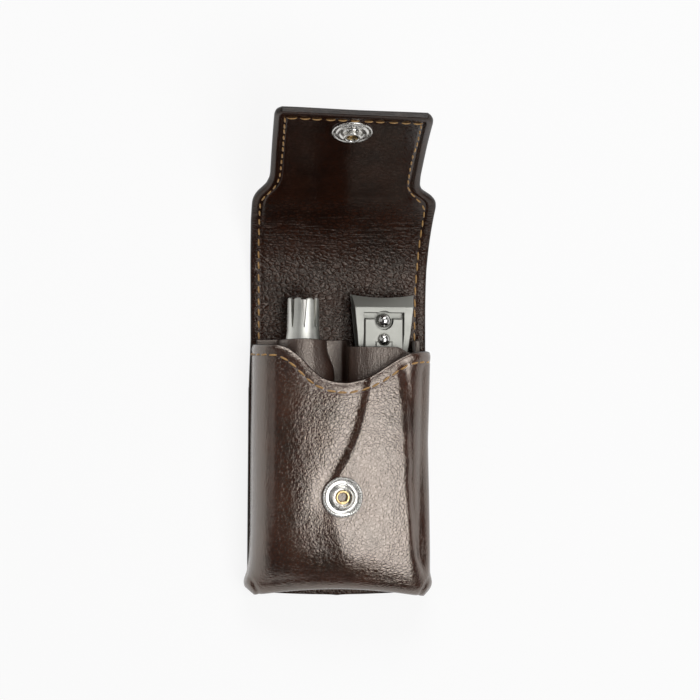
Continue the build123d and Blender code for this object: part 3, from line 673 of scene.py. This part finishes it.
def flap_faces(reach):
    """Grids of the flap's outer and lining faces at these reaches, with rolled borders and a slow wave."""
    x = across(blurred(reach, left_line, 0.55) + 0.35, blurred(reach, right_line, 0.55) - 0.35)
    s = np.broadcast_to(reach[:, None], x.shape)
    near = np.minimum(x - x[:, :1], x[:, -1:] - x)
    seam = 2.9 - 0.3 * ramp(x, 0, 10) * ramp(s, 60, 66)
    sink = rolled(np.minimum(near, (tip_reach - s) * 1.0), seam)
    sunk_tip = 0.16 * np.exp(-(((tip_reach - 3.5 - s) / 0.5) ** 2)) * (near > 2.0)
    wave = 0.16 * drift(x, s, 30, 5.0) * ramp(s, 6, 20)
    place_s = skewed(x, s)
    outer = flap_point(x, place_s, -mid + 0.8 * sink + wave)
    inner = flap_point(x, place_s, mid - sink - sunk_tip + wave)
    return outer, inner


half_seam = half_length - back_seam
flap_spans = (
    ("flap_root", -half_seam, 20.0, ("case", "flap_bridge"), (5.5, 18.5), ("bridge_outer", "bridge_lining")),
    (
        "flap_throat_leather", 20.0, 40.0, ("flap_bridge", "flap_throat"), (20.8, 35.2),
        ("throat_outer", "throat_lining"),
    ),
    (
        "flap_tab_leather", 40.0, tip_reach, ("flap_throat", "flap_tab"), (44.0, 60.0),
        ("tab_outer", "tab_lining"),
    ),
)
for name, start, end, pair, turning, nodes in flap_spans:
    count = int((end - start) / 0.75)
    reach = np.linspace(start, end, count)
    if end == tip_reach:
        reach = np.concatenate([np.linspace(start, end - 4.2, count - 6), end - border[-2::-1]])
    outer, inner = flap_faces(reach)
    leather = leather_slab(name, outer, inner, hides, cut=(True, end != tip_reach))
    ends = [(flap_point(0.0, s, 0.0) * 0.001).tolist() for s in turning]
    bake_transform(leather)
    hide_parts(*nodes)


# Stitching
# Waxed golden-brown thread in a lockstitch, about seven stitches to the inch. Each stitch is a short
# rounded length that dips into its two holes, and the same row shows on both sides of the leather.

thread, tree, shader, place, bump = surface("golden_thread")
plies = placed(tree, bend_lines, place, {"Along": (1500.0, 1500.0, 1500.0), "Sharp": 4.0})
fluff = two_tones(tree, plies, "Height", (0.36, 0.19, 0.055), (0.66, 0.40, 0.145))
wire(tree, fluff, 2, shader, "Base Color")
wire(tree, plies, "Height", bump, "Height")
bump.inputs["Distance"].default_value = 0.00005
shader.inputs["Roughness"].default_value = 0.55
shader.inputs["Sheen Weight"].default_value = 0.25


def ring_quads(index):
    """The four-sided faces between closed rings of numbered points."""
    after = np.roll(index, -1, 1)
    return np.stack([index[:-1], after[:-1], after[1:], index[1:]], -1).reshape(-1, 4)


def stitch_row(name, line, up, pitch, material, thick=0.27, gap=0.16):
    """A row of stitches along a line of points with the leather's normals.

    The line is cut at equal lengths. Each stitch follows its chord, swells as the square root of a
    sine, arches by a third of its thickness and slants a little, as a lockstitch does.
    """
    run = np.concatenate([[0], np.cumsum(np.linalg.norm(np.diff(line, axis=0), axis=1))])
    count = max(int(run[-1] / pitch), 1)
    step = run[-1] / count
    k = np.arange(count)
    wander = 0.05 * np.sin(k * 2.4)
    a = (k + gap / 2 + wander) * step
    b = (k + 1 - gap / 2 + wander) * step
    at = lambda s, values: np.stack([np.interp(s, run, values[:, c]) for c in range(3)], -1)
    p, q, n = at(a, line), at(b, line), at((a + b) / 2, up)
    n = n / np.linalg.norm(n, axis=1, keepdims=True)
    d = q - p
    side = np.cross(n, d)
    side = side / np.linalg.norm(side, axis=1, keepdims=True)
    p, q = p - side * 0.10, q + side * 0.10
    ring = np.linspace(0, 1, 6)
    swell = np.array([0.25, 0.8, 1.0, 1.0, 0.8, 0.25]) * thick
    arch = np.array([-0.9, 0.15, 0.5, 0.5, 0.15, -0.9]) * thick
    spin = np.arange(7) * 2 * math.pi / 7
    along = ring[None, :, None]
    centre = p[:, None] * (1 - along) + q[:, None] * along + n[:, None] * arch[None, :, None]
    circle = (
        side[:, None, None] * (np.cos(spin) * 1.15)[None, None, :, None]
        + n[:, None, None] * (np.sin(spin) * 0.85)[None, None, :, None]
    )
    points = centre[:, :, None] + circle * swell[None, :, None, None]
    index = np.arange(6 * 7).reshape(6, 7)
    body = ring_quads(index)
    caps = [index[0][::-1].tolist(), index[-1].tolist()]
    faces = []
    for stitch in range(count):
        faces += (body + stitch * 42).tolist()
        faces += [[c + stitch * 42 for c in cap] for cap in caps]
    item = piece(name, points.reshape(-1, 3), faces, [material])
    return item


mouth_run = np.linspace(-28.55, 28.55, 300)
edge_y = blurred(mouth_run, mouth_line, 1.0)
edge_slope = np.gradient(edge_y, mouth_run)
stitch_x = mouth_run + 3.0 * edge_slope / np.hypot(1, edge_slope)
stitch_y = edge_y - 3.0 / np.hypot(1, edge_slope)


def on_front(x, y, lift):
    """Points and normals of the finished front over (x, y): the nearest grid cell, weighted by distance."""
    shape = front_outer[: len(down)]
    normal = front_normal[: len(down)]
    flat = shape.reshape(-1, 3)
    up = normal.reshape(-1, 3)
    gap = (flat[None, :, 0] - x[:, None]) ** 2 + (flat[None, :, 1] - y[:, None]) ** 2
    nearest = np.argsort(gap, axis=1)[:, :4]
    weight = 1 / (np.take_along_axis(gap, nearest, 1) + 1e-3)
    weight = weight / weight.sum(1, keepdims=True)
    point = (flat[nearest] * weight[..., None]).sum(1)
    direction = (up[nearest] * weight[..., None]).sum(1)
    point[:, 0], point[:, 1] = x, y
    return point + direction * lift, direction


keep = np.abs(stitch_x) < 28.2
line, up = on_front(stitch_x[keep], stitch_y[keep], 0.10)
mouth_stitches = stitch_row("mouth_stitches", line, up, 3.5, thread)
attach(mouth_stitches, "case")


def flap_line(x, reach, lift, level):
    """Points of the flap at (x, reach) and its normals, which point to the lining's side for level 1."""
    line = flap_point(x, skewed(x, reach), lift)
    up = (flap_point(x, reach, 1.0) - flap_point(x, reach, 0.0)) * level
    return line, up


both_faces = (("lining", mid - 0.06, 1), ("outer", -mid + 0.03, -1))
seam_spans = (("root", -half_seam, 20.0, 0), ("throat", 20.0, 40.0, 1), ("tab", 40.0, 95.3, 2))
for label, start, end, number in seam_spans:
    pair, turning = flap_spans[number][3], flap_spans[number][4]
    ends = [(flap_point(0.0, s, 0.0) * 0.001).tolist() for s in turning]
    for side, table in (("left", left_seam), ("right", right_seam)):
        reach = np.linspace(start + 0.05, end - 0.05, 160)
        x = blurred(reach, table, 0.8)
        for face, lift, level in both_faces:
            line, up = flap_line(x, reach, lift, level)
            row = stitch_row(f"{label}_stitches_{side}_{face}", line, up, 3.3, thread, thick=0.24)
            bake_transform(row)
for face, lift, level in both_faces:
    x = np.linspace(-19.7, 20.7, 120)
    reach = np.full(x.shape, 95.3)
    line, up = flap_line(x, reach, lift, level)
    row = stitch_row(f"tip_stitches_{face}", line, up, 3.5, thread, thick=0.24)
    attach(row, "flap_tab")
bow = np.linspace(0, math.pi / 2, 20)[1:]
inset = foot_corner - 2.9
corner_x = half_width - foot_corner
side_y = np.linspace(back_seam - 0.1, corner_y, 100)
y = np.concatenate([side_y, corner_y - inset * np.sin(bow), np.full(60, -half_length + 2.9)])
x = np.concatenate(
    [np.full(100, half_width - 2.9), corner_x + inset * np.cos(bow), np.linspace(corner_x, 0.0, 61)[1:]]
)
downwards = np.tile([0.0, 0.0, -1.0], (len(x), 1))
for side, label in ((-1, "left"), (1, "right")):
    line = np.stack([side * x, y, np.full(x.shape, 0.0)], -1)
    row = stitch_row(f"back_stitches_{label}", line, downwards, 3.4, thread, thick=0.24)
    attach(row, "case")


# Snap: socket on the front
# Stamped nickel-plated brass. The female half has a milled rim, a plain shallow ring and a raised
# collar; inside lie two bent wires that grip the stud, and a brass eyelet clenches it to the front.


def plated(name, dark, light, rough, pitted=0.00002):
    """Bright plated or bare metal: fine wear marks, soft stains and roughness that shifts with them."""
    material, tree, shader, place, bump = surface(name)
    stain = add(tree, "ShaderNodeTexNoise", {"Scale": 600.0, "Detail": 4.0})
    wire(tree, place, "Object", stain, "Vector")
    marks = placed(tree, pocket_wear, place, {"Size": 1.0})
    tone = two_tones(tree, stain, "Fac", dark, light)
    wire(tree, tone, 2, shader, "Base Color")
    blur = add(
        tree, "ShaderNodeMapRange",
        {"From Min": 0.35, "From Max": 0.7, "To Min": rough - 0.05, "To Max": rough + 0.10},
    )
    wire(tree, stain, "Fac", blur, "Value")
    scored = math_node(tree, "MULTIPLY_ADD", (marks, "Mask"), 0.12)
    wire(tree, blur, "Result", scored, 2)
    wire(tree, scored, "Value", shader, "Roughness")
    grit = math_node(tree, "SUBTRACT", (stain, "Fac"), (marks, "Mask"))
    wire(tree, grit, "Value", bump, "Height")
    bump.inputs["Distance"].default_value = pitted
    bump.inputs["Strength"].default_value = 0.5
    shader.inputs["Metallic"].default_value = 1.0
    return material


nickel = plated("nickel_plate", (0.60, 0.585, 0.55), (0.84, 0.83, 0.80), 0.20, 0.00006)
brass = plated("bare_brass", (0.50, 0.35, 0.16), (0.80, 0.62, 0.34), 0.24)
spring_wire = plated("spring_wire", (0.50, 0.48, 0.44), (0.78, 0.75, 0.70), 0.18)


def turned_piece(name, profile, basis, material, beads=None, sides=160):
    """A closed turned piece: the profile of (radius, height) points carried round an axis.

    beads gives the number and depth of a milled rim's teeth and the two radii between which they rise.
    The rim's height and radius ripple with the cosine of that many turns.
    """
    profile = np.array(profile, float)
    spin = np.arange(sides) * 2 * math.pi / sides
    radius = np.broadcast_to(profile[:, :1], (len(profile), sides)).copy()
    height = np.broadcast_to(profile[:, 1:2], radius.shape).copy()
    if beads is not None:
        number, depth, inner, outer = beads
        mask = ramp(profile[:, 0], inner, outer)[:, None]
        ripple = np.cos(spin * number)[None, :]
        height = height + depth * mask * ripple * ramp(height, 0.15, 0.6)
        radius = radius + 0.5 * depth * mask * ripple
    local = np.stack([radius * np.cos(spin), radius * np.sin(spin), height], -1)
    points = local.reshape(-1, 3) @ np.array(basis[1:]) + np.array(basis[0])
    index = np.arange(len(profile) * sides).reshape(len(profile), sides)
    faces = ring_quads(index)
    if np.hypot(*(profile[0] - profile[-1])) > 1e-6:
        a, b = index[-1], index[0]
        faces = np.concatenate([faces, np.stack([a, np.roll(a, -1), np.roll(b, -1), b], -1)])
    return piece(name, points, outward(points, faces), [material])


def softened(points, reach=0.12, steps=3):
    """Rounds the corners of a closed outline: each corner becomes a short quadratic bend."""
    points = np.array(points, float)
    before, after = np.roll(points, 1, 0), np.roll(points, -1, 0)
    a, b = before - points, after - points
    la, lb = np.hypot(*a.T), np.hypot(*b.T)
    cut = np.minimum(reach, 0.45 * np.minimum(la, lb))
    p0 = points + a * (cut / la)[:, None]
    p2 = points + b * (cut / lb)[:, None]
    t = np.linspace(0, 1, steps + 1)[None, :, None]
    curve = (1 - t) ** 2 * p0[:, None] + 2 * t * (1 - t) * points[:, None] + t**2 * p2[:, None]
    closed = curve.reshape(-1, 2)
    return np.concatenate([closed, closed[:1]])


snap_y = -6.8
socket_basis = ((0.0, snap_y, front_depth - 0.02), (1, 0, 0), (0, 1, 0), (0, 0, 1))
socket_profile = softened(
    [
        (1.83, -0.15), (6.25, -0.15), (6.3, 0.55), (6.1, 1.05), (5.75, 1.2), (5.45, 1.05), (5.15, 0.85),
        (4.2, 0.80), (3.75, 0.95), (3.5, 1.5), (3.35, 2.0), (3.1, 2.2), (2.85, 2.15), (2.75, 1.9),
        (2.75, 1.6), (3.15, 1.35), (3.15, 0.40), (1.83, 0.40),
    ],
    0.22,
)
socket = turned_piece(
    "socket_plate", socket_profile, socket_basis, nickel, beads=(46, 0.075, 5.2, 5.7), sides=368
)
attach(socket, "case")
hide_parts("snap_socket")


def wire_loop(name, path, thick, material, sides=10):
    """A closed round wire along a path, its circles spanned by the path's side and up directions."""
    ahead = np.roll(path, -1, 0) - np.roll(path, 1, 0)
    ahead = ahead / np.linalg.norm(ahead, axis=1, keepdims=True)
    side = np.cross(ahead, [0, 0, 1.0])
    side = side / np.linalg.norm(side, axis=1, keepdims=True)
    up = np.cross(side, ahead)
    spin = np.arange(sides) * 2 * math.pi / sides
    circle = side[:, None] * np.cos(spin)[None, :, None] + up[:, None] * np.sin(spin)[None, :, None]
    rings = path[:, None] + thick * circle
    index = np.arange(len(path) * sides).reshape(len(path), sides)
    after = np.roll(index, -1, 1)
    faces = np.stack([index, after, np.roll(after, -1, 0), np.roll(index, -1, 0)], -1)
    points = rings.reshape(-1, 3)
    return piece(name, points, outward(points, faces.reshape(-1, 4)), [material])


# The wire runs round inside the collar and dips across it on two sides, where the stud is gripped
turns = np.linspace(0, 2 * math.pi, 180, endpoint=False)
grip = 2.95 - 0.62 * np.exp(-((np.cos(turns + 0.5) / 0.32) ** 2))
wire_z = np.full(180, front_depth + 1.05)
wire_path = np.stack([grip * np.cos(turns), snap_y + grip * np.sin(turns), wire_z], -1)
socket_wire = wire_loop("socket_wire", wire_path, 0.22, spring_wire)
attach(socket_wire, "case")
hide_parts("snap_spring")

eyelet_profile = softened(
    [
        (1.3, -wall - 0.64), (4.5, -wall - 0.64), (4.5, -wall - 0.24), (1.8, -wall - 0.24), (1.8, 0.42),
        (2.25, 0.42), (2.3, 0.6), (2.1, 0.74), (1.6, 0.76), (1.3, 0.6),
    ],
    0.12,
)
socket_eyelet = turned_piece("socket_eyelet_brass", eyelet_profile, socket_basis, brass, sides=72)
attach(socket_eyelet, "case")
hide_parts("socket_eyelet")


# Snap: stud and cap on the tab
# The male half is pressed from the same plated brass: a dished flange with a ring, and a hollow
# knob with a fuller rim. Its eyelet comes through from a domed cap on the tab's outside.

stud_reach = 89.5
stud_seat = flap_point(np.array(0.0), np.array(stud_reach), mid + 0.12)
ahead = flap_point(np.array(0.0), np.array(stud_reach + 0.01), 0.0)
ahead = ahead - flap_point(np.array(0.0), np.array(stud_reach), 0.0)
ahead = ahead / np.linalg.norm(ahead)
facing = np.cross([1.0, 0, 0], ahead)
stud_basis = (stud_seat, (1.0, 0, 0), ahead, facing)
stud_profile = softened(
    [
        (1.83, -0.05), (5.7, -0.05), (6.0, 0.2), (5.85, 0.55), (5.5, 0.62), (5.1, 0.45), (4.75, 0.48),
        (4.45, 0.78), (4.1, 0.85), (3.7, 0.72), (3.3, 0.5), (2.75, 0.55), (2.55, 0.9), (2.5, 1.4),
        (2.68, 1.85), (2.66, 2.15), (2.4, 2.4), (1.95, 2.38), (1.75, 2.1), (1.8, 1.5), (2.15, 0.9),
        (2.2, 0.42), (1.83, 0.42),
    ],
    0.16,
)
stud = turned_piece("stud_plate", stud_profile, stud_basis, nickel, sides=128)
barrel_profile = softened(
    [
        (1.0, -wall - 0.6), (4.4, -wall - 0.6), (4.4, -wall - 0.25), (1.8, -wall - 0.25), (1.8, 0.45),
        (2.1, 0.5), (2.05, 0.75), (1.0, 0.72),
    ],
    0.1,
)
stud_barrel = turned_piece("stud_eyelet_brass", barrel_profile, stud_basis, brass, sides=72)
cap_seat = flap_point(np.array(0.0), np.array(stud_reach), -mid)
cap_basis = (cap_seat, (1.0, 0, 0), -ahead, -facing)
cap_profile = softened(
    [
        (4.65, 0.03), (6.0, 0.03), (6.25, 0.3), (6.15, 0.62), (5.6, 0.92), (4.6, 1.18), (3.0, 1.36),
        (1.5, 1.44), (0.02, 1.46), (0.02, 0.66), (4.65, 0.66),
    ],
    0.18,
)
cap = turned_piece("cap_plate", cap_profile, cap_basis, nickel, sides=96)
for item, node in ((stud, "snap_stud"), (stud_barrel, "stud_eyelet"), (cap, "snap_cap")):
    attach(item, "flap_tab")
    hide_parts(node)


# Trimmer
# A turned stainless tube with a crown of tapered slots, in which a slotted blade turns when the
# fluted grip at its foot is twisted. The tube is satin from fine turning and slightly worn.


def brushed(name, dark, light, rough, stretch, depth):
    """Satin steel: a hair-fine lay from turning or blasting, with roughness and tone that follow it."""
    material, tree, shader, place, bump = surface(name)
    lay = add(tree, "ShaderNodeMapping", {"Scale": stretch})
    wire(tree, place, "Object", lay, "Vector")
    hair = add(tree, "ShaderNodeTexNoise", {"Scale": 1.0, "Detail": 4.0})
    wire(tree, lay, "Vector", hair, "Vector")
    cloud = add(tree, "ShaderNodeTexNoise", {"Scale": 160.0, "Detail": 3.0})
    wire(tree, place, "Object", cloud, "Vector")
    marks = placed(tree, pocket_wear, place, {"Size": 0.7})
    blend = math_node(tree, "MULTIPLY_ADD", (hair, "Fac"), 0.5)
    half_cloud = math_node(tree, "MULTIPLY", (cloud, "Fac"), 0.5)
    wire(tree, half_cloud, "Value", blend, 2)
    tone = two_tones(tree, blend, "Value", dark, light)
    wire(tree, tone, 2, shader, "Base Color")
    blur = add(
        tree, "ShaderNodeMapRange",
        {"From Min": 0.35, "From Max": 0.65, "To Min": rough - 0.04, "To Max": rough + 0.08},
    )
    wire(tree, blend, "Value", blur, "Value")
    wire(tree, blur, "Result", shader, "Roughness")
    grit = math_node(tree, "MULTIPLY_ADD", (marks, "Mask"), -0.6)
    wire(tree, hair, "Fac", grit, 2)
    wire(tree, grit, "Value", bump, "Height")
    bump.inputs["Distance"].default_value = depth
    bump.inputs["Strength"].default_value = 0.6
    shader.inputs["Metallic"].default_value = 1.0
    return material


# Painted light: the tube and grip get a lighter steel colour than plain stainless, standing for the lamp
# light they reflect.
turned_steel_painted_bright = brushed(
    "turned_steel_painted_bright", (0.62, 0.62, 0.58), (0.86, 0.86, 0.80), 0.42, (250.0, 2600.0, 250.0), 0.000012
)
blade_steel = brushed(
    "blade_steel", (0.30, 0.29, 0.27), (0.55, 0.54, 0.51), 0.34, (300.0, 1500.0, 300.0), 0.00001
)


def finished(node, name, material, bevel=0.0, sharp=32.0):
    """A copy of a CAD node with its triangles merged into plain faces, smooth shading and small bevels."""
    work = bmesh.new()
    work.from_mesh(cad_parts[node].data)
    bmesh.ops.remove_doubles(work, verts=work.verts, dist=2e-6)
    bmesh.ops.dissolve_limit(work, angle_limit=math.radians(0.6), verts=work.verts, edges=work.edges)
    mesh = bpy.data.meshes.new(name)
    for edge in work.edges:
        edge.smooth = len(edge.link_faces) == 2 and edge.calc_face_angle(3.0) < math.radians(sharp)
    for face in work.faces:
        face.smooth = True
    work.to_mesh(mesh)
    work.free()
    mesh.materials.clear()
    mesh.materials.append(material)
    item = bpy.data.objects.new(name, mesh)
    bpy.context.scene.collection.objects.link(item)
    if bevel:
        soft = item.modifiers.new("edge", "BEVEL")
        soft.width = bevel * 0.001
        soft.segments = 2
        soft.limit_method = "ANGLE"
        soft.angle_limit = math.radians(sharp)
        soft.harden_normals = True
    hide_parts(node)
    return item


for node, name, material, body, slot, bevel in (
    ("trimmer_tube", "trimmer_sheath", turned_steel_painted_bright, "trimmer", "trimmer_steel", 0.12),
    ("trimmer_spring", "trimmer_ring", blade_steel, "trimmer", "blade_steel", 0.05),
    ("trimmer_cutter", "trimmer_blade", blade_steel, "trimmer_grip", "blade_steel", 0.05),
    ("trimmer_knob", "trimmer_turner", turned_steel_painted_bright, "trimmer_grip", "trimmer_steel", 0.10),
    ("trimmer_screw", "trimmer_foot_screw", blade_steel, "trimmer_grip", "blade_steel", 0.05),
):
    part = finished(node, name, material, bevel)
    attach(part, body)


# Clipper
# Two bent stainless arms, bead-blasted satin, joined by a rivet at the tail. A pin with a ball end
# goes through both by the jaws and carries the folded lever, which has a domed stud behind the ball.

# Painted shade: the arms and lever get a darker steel colour than the trimmer's, standing for light their
# tops do not catch.
blasted_steel_painted_dark = brushed(
    "blasted_steel_painted_dark", (0.30, 0.30, 0.275), (0.43, 0.43, 0.395), 0.50, (2200.0, 1800.0, 2000.0), 0.000014
)
bright_steel = plated("bright_steel", (0.62, 0.61, 0.58), (0.80, 0.79, 0.77), 0.14)
for node, name, material, body, slot, bevel in (
    ("clipper_lower_arm", "lower_arm", blasted_steel_painted_dark, "clipper", "clipper_steel", 0.15),
    ("clipper_rivet", "tail_rivet", bright_steel, "clipper", "polished_steel", 0.08),
    ("clipper_pin", "ball_pin", bright_steel, "clipper", "polished_steel", 0.0),
    ("clipper_upper_arm", "upper_arm", blasted_steel_painted_dark, "clipper_top", "clipper_steel", 0.18),
    ("clipper_lever", "folded_lever", blasted_steel_painted_dark, "clipper_top", "clipper_steel", 0.12),
    ("clipper_boss", "lever_stud", bright_steel, "clipper_top", "polished_steel", 0.0),
):
    part = finished(node, name, material, bevel)
    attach(part, body)


# Floor, light and camera
# A plain white table that sweeps up at its rim, seen from above, as for a catalogue photograph. One
# large soft lamp stands up to the right, a strong one behind the flap and a faint one to the left.

floor_material = bpy.data.materials.new("white_table")
floor_material.use_nodes = True
tree = floor_material.node_tree
shader = tree.nodes["Principled BSDF"]
shader.inputs["Base Color"].default_value = (0.86, 0.86, 0.86, 1.0)
shader.inputs["Roughness"].default_value = 0.8
rays = add(tree, "ShaderNodeLightPath")
direct = math_node(tree, "MAXIMUM", (rays, "Is Camera Ray"), (rays, "Is Transmission Ray"))
seen = math_node(tree, "MAXIMUM", (direct, "Value"), (rays, "Is Glossy Ray"))
white = add(tree, "ShaderNodeEmission", {"Color": (1.0, 1.0, 1.0, 1.0), "Strength": 1.0})
share = math_node(tree, "MULTIPLY", (seen, "Value"), 0.86)
mix = add(tree, "ShaderNodeMixShader")
wire(tree, share, "Value", mix, "Fac")
tree.links.new(shader.outputs["BSDF"], mix.inputs[1])
tree.links.new(white.outputs["Emission"], mix.inputs[2])
tree.links.new(mix.outputs["Shader"], tree.nodes["Material Output"].inputs["Surface"])
table_radius, sweep_width, sweep_height = 1800, 600, 400
table_clearance = 0.05
bow = np.linspace(0, math.pi / 2, 9)[1:]
rim = table_radius + sweep_width
span = np.concatenate([np.linspace(0, table_radius, 7), table_radius + sweep_width * np.sin(bow), [rim, rim]])
curl = sweep_height - sweep_height * np.cos(bow)
rise = np.concatenate([np.zeros(7), curl, [sweep_height + 20, sweep_height + 40]]) - table_clearance
around = np.arange(65) * 2 * math.pi / 64
height = np.broadcast_to(rise[:, None], (17, 65))
sweep = np.stack([span[:, None] * np.cos(around), span[:, None] * np.sin(around), height], -1)
floor = piece("table_and_sweep", sweep.reshape(-1, 3), grid_quads(17, 65), [floor_material])

world = bpy.data.worlds.new("studio")
bpy.context.scene.world = world
world.use_nodes = True
background = world.node_tree.nodes["Background"]
background.inputs["Color"].default_value = (1.0, 1.0, 1.0, 1.0)
seen_sky = add(world.node_tree, "ShaderNodeLightPath")
sky = math_node(world.node_tree, "MAXIMUM", (seen_sky, "Is Camera Ray"), 0.05)
wire(world.node_tree, sky, "Value", background, "Strength")


def aimed(item, place, aim, roll=0.0):
    """Puts a lamp or camera in place, its -Z axis towards the aim and its X axis level, then rolled."""
    place, aim = np.array(place, float), np.array(aim, float)
    back = (place - aim) / np.linalg.norm(place - aim)
    side = np.cross([0.0, 1.0, 0.0], back)
    side = side / np.linalg.norm(side)
    top = np.cross(back, side)
    matrix = np.eye(4)
    matrix[:3, 0] = side * math.cos(roll) + top * math.sin(roll)
    matrix[:3, 1] = top * math.cos(roll) - side * math.sin(roll)
    matrix[:3, 2] = back
    matrix[:3, 3] = place
    item.matrix_world = Matrix(matrix.tolist())
    bpy.context.scene.collection.objects.link(item)


def soft_lamp(name, place, aim, size, radiance):
    """A rectangular softbox of even radiance: its power is radiance times pi times its area."""
    lamp = bpy.data.lights.new(name, "AREA")
    lamp.shape = "RECTANGLE"
    lamp.size, lamp.size_y = size
    lamp.energy = radiance * math.pi * size[0] * size[1]
    aimed(bpy.data.objects.new(name, lamp), place, aim)


soft_lamp("right_softbox", (0.420, -0.181, 1.172), (0.0, 0.0, 0.02), (0.68, 1.06), 4.6)
soft_lamp("left_softbox", (-0.98, 0.10, 0.70), (0.0, 0.02, 0.02), (0.60, 0.80), 0.55)
soft_lamp("back_softbox", (0.05, 1.05, 0.90), (0.0, 0.03, 0.02), (0.80, 0.50), 6.0)

camera_place = (-0.04137, 0.04437, 0.570)
camera_aim = (0.00393, 0.03815, 0.0)
camera_roll = math.radians(0.46)
focal_pixels = 1781.9
image_pixels = 700.0
lens = bpy.data.cameras.new("camera")
lens.sensor_width = 36.0
lens.lens = focal_pixels * lens.sensor_width / image_pixels
lens.clip_start = 0.01
camera = bpy.data.objects.new("camera", lens)
aimed(camera, camera_place, camera_aim, camera_roll)
bpy.context.scene.camera = camera
bpy.context.scene.view_settings.view_transform = "Standard"
